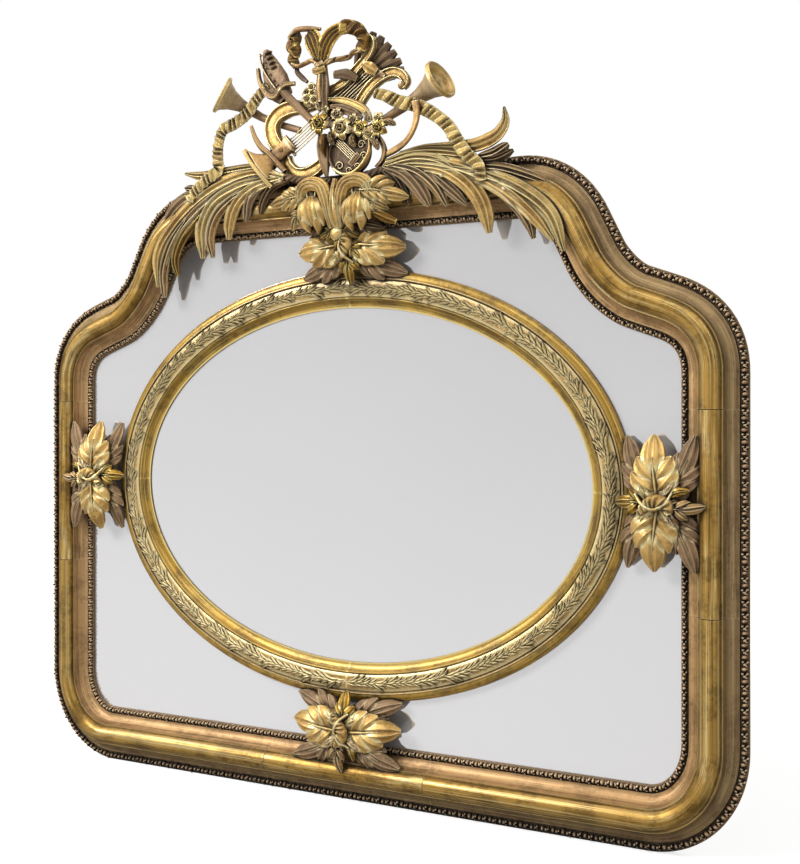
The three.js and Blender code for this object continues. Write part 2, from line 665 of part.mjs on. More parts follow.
// Past the crest's middle, palms and ribbons stretch so that they end at the shoulders.
const reachShare = (waistEnd.x - PALM_ROOT) / (PALM_DRAWN_REACH - PALM_ROOT);
function toShoulders(spec) {
  const points = spec.points.map((point) => {
    const past = Math.max(Math.abs(point.x) - PALM_ROOT, 0);
    return new THREE.Vector3(point.x + Math.sign(point.x) * past * (reachShare - 1), point.y, point.z);
  });
  return { ...spec, points };
}
const leftPalmSpecs = [
  frond([[-118, 52, 6], [-170, 72, 6], [-240, 72, 6], [-300, 70, 2], [-340, 78, -2]], 9),
  frond([[-112, 48, 6], [-170, 62, 6], [-240, 50, 6], [-300, 24, 6], [-362, -22, 4], [-404, -76, 0],
    [-408, -138, -6]], 12, 7),
  frond([[-150, 54, 6], [-240, 38, 6], [-310, 0, 6], [-360, -46, 2], [-384, -96, -4]], 11, 6),
  frond([[-240, 34, 4], [-300, -4, 4], [-346, -46, 2], [-368, -88, -4], [-364, -118, -10]], 9),
  frond([[-150, 50, 6], [-214, 40, 6], [-270, 14, 6], [-298, -30, 4], [-301, -88, -4]], 12),
  frond([[-160, 46, 4], [-222, 22, 4], [-264, -8, 4], [-284, -50, 0], [-278, -88, -4]], 10),
  frond([[-118, 48, 6], [-180, 36, 6], [-218, 8, 6], [-236, -28, 2], [-240, -56, -2]], 11),
  frond([[-112, 46, 6], [-160, 42, 6], [-190, 14, 6], [-199, -26, 2]], 9),
  frond([[-290, 32, 6], [-330, 28, 2], [-366, 14, -8], [-402, -14, -20]], 13),
  frond([[-290, 30, 6], [-320, 44, 2], [-352, 58, -4]], 9, 5),
  stalk([[-112, 50, 4], [-138, 92, 0], [-172, 122, -5], [-192, 158, -8]]),
  root(-1),
];
const rightPalmSpecs = [
  frond([[100, 58, 6], [160, 68, 6], [220, 64, 6], [276, 66, 6], [312, 92, 2], [319, 126, -2]], 17, 6),
  frond([[96, 52, 6], [170, 50, 6], [250, 28, 6], [320, -12, 6], [370, -58, 2], [400, -100, -4]], 13, 6),
  frond([[180, 42, 6], [280, 18, 6], [350, -16, 6], [396, -58, 2], [417, -118, -6]], 12, 6),
  frond([[250, 32, 4], [310, 22, 2], [356, 8, -6], [392, -6, -16]], 7),
  frond([[230, 26, 4], [296, 0, 4], [334, -32, 2], [358, -70, -4], [363, -94, -10]], 9),
  frond([[130, 46, 6], [204, 36, 6], [252, 6, 6], [276, -32, 2], [288, -80, -6]], 13, 6),
  frond([[110, 48, 4], [176, 30, 4], [220, -4, 4], [247, -30, 0]], 10),
  frond([[100, 52, 6], [156, 36, 6], [192, 6, 6], [211, -28, 0]], 11),
  frond([[92, 50, 6], [130, 36, 6], [160, 6, 6], [178, -26, 0]], 10),
  frond([[240, 46, 4], [290, 44, 2], [328, 60, -4]], 8, 5),
  stalk([[98, 60, 2], [134, 90, -2], [150, 126, -5], [148, 152, -6]]),
  root(1),
];

const bracePoints = [[-8, 58, -36], [-25, 140, -28], [-42, 200, -25], [-44, 250, -14]];

function crestBrace() {
  const half = BRACE_WIDTH / 2;
  const centre = bracePoints[0][0] * CARVING_UNIT;
  const foot = railTop + FIT_GAP;
  const thick = FIT_GAP + BRACE_THICKNESS;
  const top = foot + BRACE_LEDGE_THICKNESS;
  const leg = block([centre - half, FIT_GAP, railTop - BRACE_DROP], [centre + half, thick, top]);
  const ledge = block([centre - half, -BRACE_LEDGE_DEPTH, foot], [centre + half, thick, top]);
  const arm = strand(crestStrand(bracePoints, rod(11), rod(10), 6, 6));
  return joined([solidOf(leg), solidOf(ledge), arm]);
}

// ---------------------------------------------------------------- Clasps

// Clasp points are [along the frame, outwards from the sight edge, forwards from the front of the half
// round]. Inwards they stretch to the room between the sight edge and the oval frame.
const longLeafTip = CLASP_REACH / CARVING_UNIT;
const claspHalf = [
  {
    run: [[0, -26, -10], [40, -30, -6], [80, -34, -12], [longLeafTip, -36, -22]],
    radius: lobed(33, 3), thick: 10,
  },
  { run: [[2, -34, -13], [52, -66, -22], [90, -80, -28], [115, -88, -33]], radius: lobed(21, 3), thick: 8 },
  { run: [[2, -22, -11], [50, 10, -15], [88, 26, -14], [118, 34, -12]], radius: lobed(22, 3), thick: 9 },
];
const claspMiddle = [
  { run: [[0, -28, -8], [0, -66, -14], [0, -98, -18]], radius: lobed(18, 2), thick: 9 },
  { run: [[0, -24, -6], [0, 18, -3], [0, 52, 3]], radius: lobed(18, 2), thick: 9 },
  { run: [[-16, -26, -4], [0, -26, -2], [16, -26, -4]], radius: stepped([8, 17, 8]), thick: 12 },
];

function claspSpecs(place, leaves = claspHalf) {
  const make = ({ run, radius, thick }, side) => {
    const points = run.map(([along, out, forward]) => {
      const spot = place(along * side * CARVING_UNIT, out * CARVING_UNIT);
      return new THREE.Vector3(spot.x, -frameFront - forward * CARVING_UNIT, spot.y);
    });
    return { points, radius, depth: blade(thick, 0.35), steps: 6, sides: 3 };
  };
  return [
    ...leaves.map((leaf) => make(leaf, 1)),
    ...leaves.map((leaf) => make(leaf, -1)),
    ...claspMiddle.map((leaf) => make(leaf, 1)),
  ];
}

const claspLeaves = { top_clasp: claspHalf.slice(0, 2) }; // its other leaves would lie under the acanthus
const bridged = (out, room) => out * (out < 0 ? room / CLASP_DRAWN_ROOM : 1);
const claspPlaces = {
  top_clasp: (along, out) => at2(TOP_CLASP_SHIFT + along, sightTop + bridged(out, OVAL_TOP_ROOM)),
  bottom_clasp: (along, out) => at2(BOTTOM_CLASP_SHIFT + along, sightBottom - bridged(out, OVAL_BOTTOM_ROOM)),
  left_clasp: (along, out) => {
    return at2(-halfSight - bridged(out, OVAL_SIDE_ROOM), ovalCentre + LEFT_CLASP_LIFT + along);
  },
  right_clasp: (along, out) => {
    return at2(halfSight + bridged(out, OVAL_SIDE_ROOM), ovalCentre - RIGHT_CLASP_DROP + along);
  },
};

// ---------------------------------------------------------------- Oval frame

const grooveStart = OVAL_COVE_WIDTH;
const laurelStart = grooveStart + OVAL_GROOVE_WIDTH;
const laurelEnd = laurelStart + LAUREL_WIDTH;
const coveTop = GLASS_FRONT + OVAL_COVE_RISE;
const laurelSeat = GLASS_FRONT + LAUREL_SEAT_RISE;
const ogeeTop = GLASS_FRONT + OVAL_OGEE_TOP;
const coveFoot = lipBack + OVAL_LIP_THICKNESS;
const ovalSection = [
  [0, lipBack],
  ...quarter([0, coveFoot], [grooveStart, coveTop], [grooveStart, coveFoot], 3),
  [grooveStart + OVAL_RIDGE, coveTop + OVAL_RIDGE],
  [laurelStart, laurelSeat],
  [laurelEnd, laurelSeat],
  [laurelEnd + OVAL_RIDGE, ogeeTop],
  ...quarter(
    [laurelEnd + 2 * OVAL_RIDGE, ogeeTop], [OVAL_FRAME_WIDTH, lipBack + OVAL_EDGE_THICKNESS],
    [OVAL_FRAME_WIDTH, ogeeTop], 3),
  [OVAL_FRAME_WIDTH, lipBack],
];
const laurelSection = halfRound(
  laurelStart + FIT_GAP, LAUREL_WIDTH - 2 * FIT_GAP, laurelSeat + FIT_GAP, LAUREL_THICKNESS, 4);

function ovalStations(fromQuarter, steps = 12) {
  const start = (fromQuarter * Math.PI) / 2;
  return Array.from({ length: steps + 1 }, (_, i) => {
    const angle = start + ((Math.PI / 2) * i) / steps;
    const point = at2(ovalHalfWidth * Math.cos(angle), ovalCentre + ovalHalfHeight * Math.sin(angle));
    const normal = at2(Math.cos(angle) / ovalHalfWidth, Math.sin(angle) / ovalHalfHeight).normalize();
    return { point, normal, along: at2(-normal.y, normal.x) };
  });
}

const QUARTER_NAMES = ['upper_right', 'upper_left', 'lower_left', 'lower_right'];

// ---------------------------------------------------------------- Hangers

const ringRise = FIT_GAP + STRAP_THICKNESS + RING_RUNNING_GAP + RING_WIRE / 2;
const stileMiddle = halfSight + (REBATE_WIDTH + MOULDING_WIDTH - BACK_DRAFT) / 2;

function tubeAlongX(centre, outer, inner, length) {
  const profile = [[inner, -length / 2], [outer, -length / 2], [outer, length / 2], [inner, length / 2]];
  const closed = [...profile, profile[0]].map(([r, h]) => at2(r, h));
  const geometry = new THREE.LatheGeometry(closed, 16);
  geometry.rotateZ(Math.PI / 2);
  geometry.translate(...centre);
  return geometry;
}

// A strap plate screwed flat to the stile, its upper end rolled round the ring's straight side.
function strap(x) {
  const bore = RING_WIRE / 2 + RING_RUNNING_GAP;
  const half = STRAP_WIDTH / 2;
  const low = [x - half, FIT_GAP, HANGER_HEIGHT - STRAP_LENGTH];
  const body = solidOf(block(low, [x + half, FIT_GAP + STRAP_THICKNESS, HANGER_HEIGHT]));
  const eye = solidOf(tubeAlongX([x, ringRise, HANGER_HEIGHT], bore + EYE_WALL, bore, STRAP_WIDTH));
  const below = solidOf(
    block([x - half - 1, -20, HANGER_HEIGHT - 20], [x + half + 1, FIT_GAP, HANGER_HEIGHT + 20]));
  const holes = SCREW_DROPS.map((drop) => {
    return solidOf(cylinderAlongY(x, HANGER_HEIGHT - drop, SCREW_RADIUS + FIT_GAP, -5, 10));
  });
  const axle = solidOf(rodAlongX([x, ringRise, HANGER_HEIGHT], bore, STRAP_WIDTH + 4));
  return cutBy(body.add(eye), [axle, below, ...holes]);
}

function rodAlongX(centre, radius, length) {
  const geometry = new THREE.CylinderGeometry(radius, radius, length, 16);
  geometry.rotateZ(Math.PI / 2);
  geometry.translate(...centre);
  return geometry;
}

function cylinderAlongY(x, z, radius, from, to, sides = 12) {
  const geometry = new THREE.CylinderGeometry(radius, radius, to - from, sides);
  geometry.translate(x, (from + to) / 2, z);
  return geometry;
}

// The D-ring hangs down from its straight side, which turns in the strap's eye.
function ring(x) {
  const wire = RING_WIRE / 2;
  const half = RING_INNER_WIDTH / 2 + wire;
  const drop = RING_INNER_HEIGHT + wire;
  const round = half * 0.8;
  const path = new THREE.CurvePath();
  const p = (dx, dz) => new THREE.Vector3(x + dx, ringRise, HANGER_HEIGHT + dz);
  path.add(new THREE.LineCurve3(p(-half, 0), p(-half, -drop + round)));
  path.add(new THREE.CubicBezierCurve3(
    p(-half, -drop + round), p(-half, -drop + round * 0.45),
    p(-half + round * 0.55, -drop), p(-half + round, -drop)));
  path.add(new THREE.LineCurve3(p(-half + round, -drop), p(half - round, -drop)));
  path.add(new THREE.CubicBezierCurve3(
    p(half - round, -drop), p(half - round * 0.55, -drop),
    p(half, -drop + round * 0.45), p(half, -drop + round)));
  path.add(new THREE.LineCurve3(p(half, -drop + round), p(half, 0)));
  const section = new THREE.Shape(new THREE.EllipseCurve(0, 0, wire, wire).getPoints(8).slice(0, -1));
  const bend = new THREE.ExtrudeGeometry(section, { steps: 11, extrudePath: path });
  const bar = rodAlongX([x, ringRise, HANGER_HEIGHT], wire, 2 * half + RING_WIRE * 0.8);
  return solidOf(bend).add(solidOf(bar));
}

function screw(x, drop) {
  const face = FIT_GAP + STRAP_THICKNESS + FIT_GAP;
  const shank = cylinderAlongY(x, HANGER_HEIGHT - drop, SCREW_RADIUS, -SCREW_LENGTH, face + 0.5);
  const head = cylinderAlongY(x, HANGER_HEIGHT - drop, SCREW_HEAD_RADIUS, face, face + SCREW_HEAD_RISE);
  return solidOf(shank).add(solidOf(head));
}

// ---------------------------------------------------------------- Finishes

const finish = (color, roughness, metalness) => ({ color, roughness, metalness });
const OLD_GOLD = finish(0xa8863f, 0.42, 0.7);
const PALE_GOLD = finish(0xd9bf7f, 0.4, 0.7);
const BRIGHT_GOLD = finish(0xc39a2e, 0.32, 0.8);
const BEAD_GOLD = finish(0x8f7a52, 0.55, 0.5);
const WORN_DARK = finish(0x6d5c49, 0.6, 0.3);
const MIRROR = finish(0xd0d0d0, 0.05, 1);
const PINE = finish(0x9a7448, 0.8, 0);
const STEEL = finish(0x8c8c8a, 0.4, 0.9);

const mirrorFrame = new THREE.Group();

function addPiece(name, geometry, { color, roughness, metalness }) {
  const material = new THREE.MeshStandardMaterial({ color, roughness, metalness });
  const mesh = new THREE.Mesh(geometry, material);
  mesh.name = name;
  mirrorFrame.add(mesh);
}

// ---------------------------------------------------------------- Assembly: outer frame

const hangerPlaces = { left: -stileMiddle, right: stileMiddle };

function pilotHoles(x) {
  return SCREW_DROPS.map((drop) => {
    return solidOf(cylinderAlongY(x, HANGER_HEIGHT - drop, SCREW_RADIUS + FIT_GAP, -SCREW_LENGTH - 1, 5));
  });
}

// The screws are drilled into whichever length lies behind the hanger.
const drillings = Object.values(hangerPlaces).flatMap(pilotHoles);
for (const [name, stations] of Object.entries(frameLengths)) {
  const length = solidOf(moulding(frameSection, drawnIn(stations)));
  addPiece(name, geometryOf(cutBy(length, drillings)), OLD_GOLD);
}

for (const [side, stations] of Object.entries(beadLengths)) {
  addPiece(`${side}_inner_bead`, moulding(innerBeadSection, drawnIn(stations)), BEAD_GOLD);
  addPiece(`${side}_outer_bead`, moulding(outerBeadSection, drawnIn(stations)), BEAD_GOLD);
}

// ---------------------------------------------------------------- Assembly: oval frame

QUARTER_NAMES.forEach((name, i) => {
  const stations = drawnIn(ovalStations(i));
  addPiece(`${name}_oval_frame`, moulding(ovalSection, stations), BRIGHT_GOLD);
  addPiece(`${name}_laurel_band`, moulding(laurelSection, stations), PALE_GOLD);
});

// ---------------------------------------------------------------- Assembly: glass and boards

const glassBack = GLASS_FRONT - GLASS_THICKNESS;
addPiece('oval_glass', plate(ellipsePoints(OVAL_GLASS_OVERLAP, 48), glassBack, GLASS_FRONT), MIRROR);

const ovalHole = ellipsePoints(OVAL_GLASS_OVERLAP + 2 * FIT_GAP, 48);
const surround = solidOf(plate(outlinePoints(GLASS_OVERLAP), glassBack, GLASS_FRONT, [ovalHole]));
const FAR = 2000;
for (const [name, sideX, sideZ] of [
  ['upper_right', 1, 1], ['upper_left', -1, 1], ['lower_left', -1, -1], ['lower_right', 1, -1]]) {
  const x = [sideX * (FIT_GAP / 2), sideX * FAR].sort((a, b) => a - b);
  const z = [ovalCentre + sideZ * (FIT_GAP / 2), ovalCentre + sideZ * FAR].sort((a, b) => a - b);
  const region = solidOf(block([x[0], -FAR, z[0]], [x[1], FAR, z[1]]));
  addPiece(`${name}_glass`, geometryOf(surround.intersect(region)), MIRROR);
}

const boardFront = glassBack - FIT_GAP;
const boards = solidOf(plate(outlinePoints(GLASS_OVERLAP), boardFront - BOARD_THICKNESS, boardFront));
for (const [name, side] of [['left', -1], ['right', 1]]) {
  const x = [side * (FIT_GAP / 2), side * FAR].sort((a, b) => a - b);
  const region = solidOf(block([x[0], -FAR, -FAR], [x[1], FAR, FAR]));
  addPiece(`${name}_back_board`, geometryOf(boards.intersect(region)), PINE);
}

// ---------------------------------------------------------------- Assembly: clasps

function frameCutters(names) {
  const section = grownSection(frameSection, CUT_GAP);
  return names.map((name) => solidOf(moulding(section, drawnIn(frameLengths[name], -2 * CUT_GAP))));
}

function beadCutters(names) {
  return names.flatMap((name) => [innerBeadSection, outerBeadSection].map((section) => {
    return solidOf(moulding(grownSection(section, CUT_GAP), drawnIn(beadLengths[name], -2 * CUT_GAP)));
  }));
}

const ovalCutters = QUARTER_NAMES.flatMap((_, i) => [ovalSection, laurelSection].map((section) => {
  return solidOf(moulding(grownSection(section, CUT_GAP), drawnIn(ovalStations(i), -2 * CUT_GAP)));
}));

const railOf = {
  top_clasp: 'top_rail', bottom_clasp: 'bottom_rail', left_clasp: 'left_stile', right_clasp: 'right_stile',
};

for (const [name, place] of Object.entries(claspPlaces)) {
  const side = name.split('_')[0];
  const cutters = [...frameCutters([railOf[name]]), ...beadCutters([side]), ...ovalCutters];
  addPiece(name, geometryOf(cutBy(strands(claspSpecs(place, claspLeaves[name])), cutters)), PALE_GOLD);
}

// ---------------------------------------------------------------- Assembly: crest

const topClaspCutter = strands(claspSpecs(claspPlaces.top_clasp, claspLeaves.top_clasp), CUT_GAP);
const railCutters = [
  ...frameCutters(['top_rail', 'left_shoulder', 'right_shoulder']), ...beadCutters(['top', 'left', 'right'])];

function trumpet(points, grow = 0) {
  const body = strand(trumpetSpec(points), grow);
  return grow > 0 ? body : body.subtract(strand(boreSpec(points)));
}

// In this order each piece is notched by the ones before it.
const crestPieces = [
  ['mandolin_body', mandolinBody, WORN_DARK],
  ['ribbon_bow', (grow) => strands(bowSpecs, grow), PALE_GOLD],
  ['lyre', (grow) => strands(lyreSpecs, grow), OLD_GOLD],
  ['lyre_strings', (grow) => strands(stringSpecs, grow), WORN_DARK],
  ['quiver', (grow) => strands(quiverSpecs, grow), WORN_DARK],
  ['acanthus_scroll', (grow) => strands(scrollSpecs, grow), PALE_GOLD],
  ['rose_garland', (grow) => strands(roseSpecs, grow), PALE_GOLD],
  ['left_trumpet', (grow) => trumpet(leftTrumpetTube, grow), WORN_DARK],
  ['right_trumpet', (grow) => trumpet(rightTrumpetTube, grow), WORN_DARK],
  ['mandolin_head', (grow) => strands(mandolinHeadSpecs, grow), WORN_DARK],
  ['shell', (grow) => strands(shellSpecs, grow), WORN_DARK],
  ['left_ribbon', (grow) => strands(leftRibbonSpecs.map(toShoulders), grow), PALE_GOLD],
  ['right_ribbon', (grow) => strands(rightRibbonSpecs.map(toShoulders), grow), PALE_GOLD],
  ['left_palm', (grow) => strands(leftPalmSpecs.map(toShoulders), grow), PALE_GOLD],
  ['right_palm', (grow) => strands(rightPalmSpecs.map(toShoulders), grow), PALE_GOLD],
  ['crest_brace', () => crestBrace(), PINE],
];

const crestCutters = [topClaspCutter, ...railCutters];
for (const [name, build, look] of crestPieces) {
  const solid = cutBy(build(0), crestCutters);
  addPiece(name, geometryOf(solid), look);
  crestCutters.push(build(CUT_GAP));
}

// ---------------------------------------------------------------- Assembly: hangers

for (const [side, x] of Object.entries(hangerPlaces)) {
  addPiece(`${side}_hanger_strap`, geometryOf(strap(x)), STEEL);
  addPiece(`${side}_hanger_ring`, geometryOf(ring(x)), STEEL);
  SCREW_DROPS.forEach((drop, i) => {
    addPiece(`${side}_hanger_screw_${i + 1}`, geometryOf(screw(x, drop)), STEEL);
  });
}

export default mirrorFrame;
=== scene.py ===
"""Trumeau mirror: gilded mouldings, beads, laurel, leaf clasps and a carved trophy of music.

Pieces are made on the bench in millimetres: x to the right, y up the mirror and z out of its front. Each
finished piece is then stood up in its place in the frame.
"""
from math import cos, hypot, pi, radians, sin

import bpy
import numpy as np
from mathutils import Matrix, Vector


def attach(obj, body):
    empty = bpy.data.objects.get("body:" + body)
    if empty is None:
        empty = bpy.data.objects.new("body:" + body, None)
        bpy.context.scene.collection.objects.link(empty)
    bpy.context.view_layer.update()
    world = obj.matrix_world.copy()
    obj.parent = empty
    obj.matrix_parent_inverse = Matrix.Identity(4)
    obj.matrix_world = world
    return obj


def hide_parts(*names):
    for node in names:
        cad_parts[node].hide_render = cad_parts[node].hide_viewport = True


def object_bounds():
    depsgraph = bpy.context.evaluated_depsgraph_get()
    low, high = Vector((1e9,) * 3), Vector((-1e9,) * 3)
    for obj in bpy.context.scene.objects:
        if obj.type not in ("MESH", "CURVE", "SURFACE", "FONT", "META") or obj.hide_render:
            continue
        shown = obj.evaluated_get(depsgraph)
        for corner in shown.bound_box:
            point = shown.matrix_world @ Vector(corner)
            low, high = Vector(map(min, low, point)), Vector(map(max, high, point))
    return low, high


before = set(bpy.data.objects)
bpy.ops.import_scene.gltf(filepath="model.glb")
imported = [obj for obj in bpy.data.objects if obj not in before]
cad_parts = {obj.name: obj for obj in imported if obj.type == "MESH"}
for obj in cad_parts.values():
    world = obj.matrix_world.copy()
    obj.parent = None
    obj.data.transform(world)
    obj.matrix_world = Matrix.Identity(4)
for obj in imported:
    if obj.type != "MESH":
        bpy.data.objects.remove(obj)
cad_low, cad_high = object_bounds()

# ---------------------------------------------------------------- Sizes, in millimetres

FIT_GAP = 0.3

# Outline of the sight edge, where the glass begins.
HALF_SIGHT = 600
SIGHT_BOTTOM, SIGHT_TOP = 53, 987
CORNER_WIDTH, CORNER_HEIGHT = 54, 74
SHOULDER_DROP = 269
EAR = (44, 60)
SHOULDER_SLOPE = (44, 16.5)
WAIST = (100, 97.5)
NECK = (26, 54)
BROW_WIDTH = 56

# Section of the outer frame: widths outwards from the sight edge, depths forwards from the back.
MOULDING_WIDTH = 106
REBATE_WIDTH = 8.5
LIP_BACK = 16.3
BEAD_SEAT = 19.8
INNER_BEAD_WIDTH, INNER_BEAD_RISE = 12, 8
COVE_START, COVE_END = 12.3, 30.3
COVE_FOOT = 23
FILLET_TOP, FILLET_STEP = 44, 2
TORUS_START, TORUS_WIDTH, TORUS_RISE = 33.9, 32, 13.5
OUTER_COVE_START, OUTER_COVE_END, OUTER_COVE_FOOT = 69.5, 90.5, 22
OUTER_BEAD_SEAT, OUTER_BEAD_RISE = 19.5, 9
BACK_DRAFT = 4
JOINT_CRACK = 0.7
FRAME_FRONT = FILLET_TOP + FILLET_STEP + TORUS_RISE
RAIL_MIDDLE = SIGHT_TOP + MOULDING_WIDTH / 2

# Oval frame.
OVAL_CENTRE = 523.6
OVAL_HALF_WIDTH, OVAL_HALF_HEIGHT = 455, 324
OVAL_WIDTH = 69
OVAL_COVE_WIDTH, OVAL_COVE_TOP = 15, 30
LAUREL_START, LAUREL_END, LAUREL_SEAT, LAUREL_RISE = 19, 50, 30, 8
OGEE_TOP = 32
OVAL_BAND_END = LAUREL_END + 5.4

# Joints of the frame's lengths.
HALF_BLOCK = 163
LEFT_BLOCK, RIGHT_BLOCK = OVAL_CENTRE - 8, OVAL_CENTRE - 26
HALF_TOP_RAIL = 280

# Beads and laurel.
INNER_BEAD_PITCH, OUTER_BEAD_PITCH = 16.0, 18.6
BEAD_SHARE = 0.92
BEAD_UNEVENNESS, LAUREL_UNEVENNESS = 0.1, 0.2
LAUREL_PITCH = 13

# Hangers.
HANGER_X, HANGER_Z = 655.25, 640
RING_DEPTH = 4.3
RING_WIRE, RING_INNER_WIDTH, RING_INNER_HEIGHT = 2, 38, 27

# ---------------------------------------------------------------- Bench work

STAND_UP = Matrix.Scale(0.001, 4) @ Matrix(((1, 0, 0, 0), (0, 0, -1, 0), (0, 1, 0, 0), (0, 0, 0, 1)))
FORWARD = np.array([0.0, 0.0, 1.0])
chance = np.random.default_rng(7)


def deselect():
    bpy.ops.object.select_all(action="DESELECT")


def points_of(mesh):
    flat = np.empty(len(mesh.vertices) * 3)
    mesh.vertices.foreach_get("co", flat)
    return flat.reshape(-1, 3)


def shaped_grid(net, finish_of=None):
    """A grid whose points are moved to the net's, an array of rows of columns of points."""
    rows, columns = net.shape[0] - 1, net.shape[1] - 1
    deselect()
    bpy.ops.mesh.primitive_grid_add(x_subdivisions=columns, y_subdivisions=rows, size=1)
    piece = bpy.context.object
    flat = points_of(piece.data)
    column = np.rint((flat[:, 0] + 0.5) * columns).astype(int)
    row = np.rint((flat[:, 1] + 0.5) * rows).astype(int)
    if finish_of is not None:
        for face in piece.data.polygons:
            face.material_index = finish_of(int((face.center[0] + 0.5) * columns))
    piece.data.vertices.foreach_set("co", net[row, column].ravel())
    return piece


def closed_up(piece, sharp=42):
    """Seams merged, open ends filled, faces turned outwards and shaded smooth up to an angle."""
    bpy.ops.object.mode_set(mode="EDIT")
    bpy.ops.mesh.select_all(action="SELECT")
    bpy.ops.mesh.remove_doubles(threshold=0.02)
    bpy.ops.mesh.fill_holes(sides=0)
    bpy.ops.mesh.select_all(action="SELECT")
    bpy.ops.mesh.normals_make_consistent(inside=False)
    bpy.ops.object.mode_set(mode="OBJECT")
    bpy.ops.object.shade_smooth_by_angle(angle=radians(sharp))
    return piece


def finished(piece, *finishes):
    for finish in finishes:
        piece.data.materials.append(finish)
    return piece


def joined(parts):
    deselect()
    for part in parts:
        part.select_set(True)
    bpy.context.view_layer.objects.active = parts[0]
    if len(parts) > 1:
        bpy.ops.object.join()
    return bpy.context.object


def put_up(node, parts, body="mirror"):
    """The parts become one piece, stood up in its place, which stands for its node in the frame."""
    piece = joined(parts)
    piece.name = piece.data.name = f"{node}_carving"
    piece.data.transform(STAND_UP)
    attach(piece, body)
    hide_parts(node)


def strung(unit, places):
    """Copies of one small shape, each at its own place, as one mesh."""
    shape = points_of(unit.data)
    faces = [tuple(face.vertices) for face in unit.data.polygons]
    points = np.concatenate([shape @ place[:3, :3].T + place[:3, 3] for place in places])
    steps = range(0, len(shape) * len(places), len(shape))
    mesh = bpy.data.meshes.new("strung")
    mesh.from_pydata(points.tolist(), [], [tuple(i + step for i in face) for step in steps for face in faces])
    piece = bpy.data.objects.new("strung", mesh)
    bpy.context.scene.collection.objects.link(piece)
    deselect()
    piece.select_set(True)
    bpy.context.view_layer.objects.active = piece
    bpy.ops.object.shade_smooth_by_angle(angle=radians(50))
    return piece


def put_away(*pieces):
    for piece in pieces:
        bpy.data.objects.remove(piece)


def pebble(size, place=(0, 0, 0), turn=0.0, segments=8, rings=6):
    """A low sphere pulled to a size and turned in the plane."""
    deselect()
    bpy.ops.mesh.primitive_uv_sphere_add(segments=segments, ring_count=rings, radius=0.5)
    piece = bpy.context.object
    matrix = Matrix.Translation(place) @ Matrix.Rotation(turn, 4, "Z") @ Matrix.Diagonal((*size, 1))
    piece.data.transform(matrix)
    bpy.ops.object.shade_smooth_by_angle(angle=radians(60))
    return piece


# ---------------------------------------------------------------- Paths

def straight(start, end, step=60):
    """Stations along a line in the frame's plane: x, y and the outward normal."""
    start, end = np.array(start, float), np.array(end, float)
    count = max(int(np.linalg.norm(end - start) / step), 1)
    along = (end - start) / np.linalg.norm(end - start)
    share = np.linspace(0, 1, count + 1)[:, None]
    line = start + (end - start) * share
    return np.column_stack([line, np.full(len(line), along[1]), np.full(len(line), -along[0])])


def bend(a, b, c, d, steps, low=0.0, high=1.0):
    """Stations along a cubic curve."""
    a, b, c, d = (np.array(point, float) for point in (a, b, c, d))
    t = np.linspace(low, high, steps + 1)[:, None]
    line = a * (1 - t) ** 3 + 3 * b * t * (1 - t) ** 2 + 3 * c * t**2 * (1 - t) + d * t**3
    along = (b - a) * (1 - t) ** 2 + 2 * (c - b) * t * (1 - t) + (d - c) * t**2
    along /= np.linalg.norm(along, axis=1)[:, None]
    return np.column_stack([line, along[:, 1], -along[:, 0]])


def chained(*runs):
    stations = [runs[0]]
    for run in runs[1:]:
        touching = np.linalg.norm(stations[-1][-1, :2] - run[0, :2]) < 1e-3
        stations.append(run[1:] if touching else run)
    return np.vstack(stations)


def mirrored(stations):
    return (stations * [-1, 1, -1, 1])[::-1]


def drawn_in(stations, gap=0.02):
    """Both ends moved in by half a gap."""
    moved = stations.copy()
    for end, side in ((0, 1), (-1, -1)):
        nx, ny = moved[end, 2:]
        moved[end, :2] += side * gap * np.array([-ny, nx])
    return moved


def evenly(stations, pitch):
    """Stations a steady pitch apart, which ends a whole number of pitches along."""
    gaps = np.linalg.norm(np.diff(stations[:, :2], axis=0), axis=1)
    length = np.concatenate([[0], np.cumsum(gaps)])
    count = max(round(length[-1] / pitch), 1)
    at = (np.arange(count) + 0.5) * length[-1] / count
    spread = np.column_stack([np.interp(at, length, stations[:, k]) for k in range(4)])
    spread[:, 2:] /= np.linalg.norm(spread[:, 2:], axis=1)[:, None]
    return spread


def places_along(stations, out, forward, pitch, unevenness):
    """A place for each repeat: x along the path, y inwards and z forwards."""
    places = []
    offset = stations.copy()
    offset[:, :2] += offset[:, 2:] * out
    for x, y, nx, ny in evenly(offset, pitch):
        size = 1 + unevenness * chance.uniform(-1, 1)
        turn = Matrix.Rotation(chance.uniform(-1, 1) * unevenness * 1.6, 4, "Z")
        frame_of = Matrix(((-ny, -nx, 0, x), (nx, -ny, 0, y), (0, 0, 1, forward), (0, 0, 0, 1)))
        places.append(np.array(frame_of @ turn @ Matrix.Scale(size, 4)))
    return places


def moulded(section, stations, finish_of=None, joint_above=None):
    """A section, a closed list of [outwards, forwards], swept along stations. What stands above joint_above
    is lowered a little at both ends, as a joint that has opened."""
    ring = np.array([*section, section[0]], float)
    if joint_above is not None:
        stations = np.vstack([stations[:1], drawn_in(stations, JOINT_CRACK)])
        stations = np.vstack([stations, drawn_in(stations[-2:], -JOINT_CRACK)[-1:]])
    x, y, nx, ny = (stations[:, k][:, None] for k in range(4))
    out, forward = ring[None, :, 0], ring[None, :, 1]
    net = np.stack([x + nx * out, y + ny * out, forward + 0 * x], axis=2)
    if joint_above is not None:
        sunk = ring[:, 1] > joint_above
        net[0, sunk, 2] -= JOINT_CRACK * 2
        net[-1, sunk, 2] -= JOINT_CRACK * 2
    return closed_up(shaped_grid(net, finish_of), sharp=30)


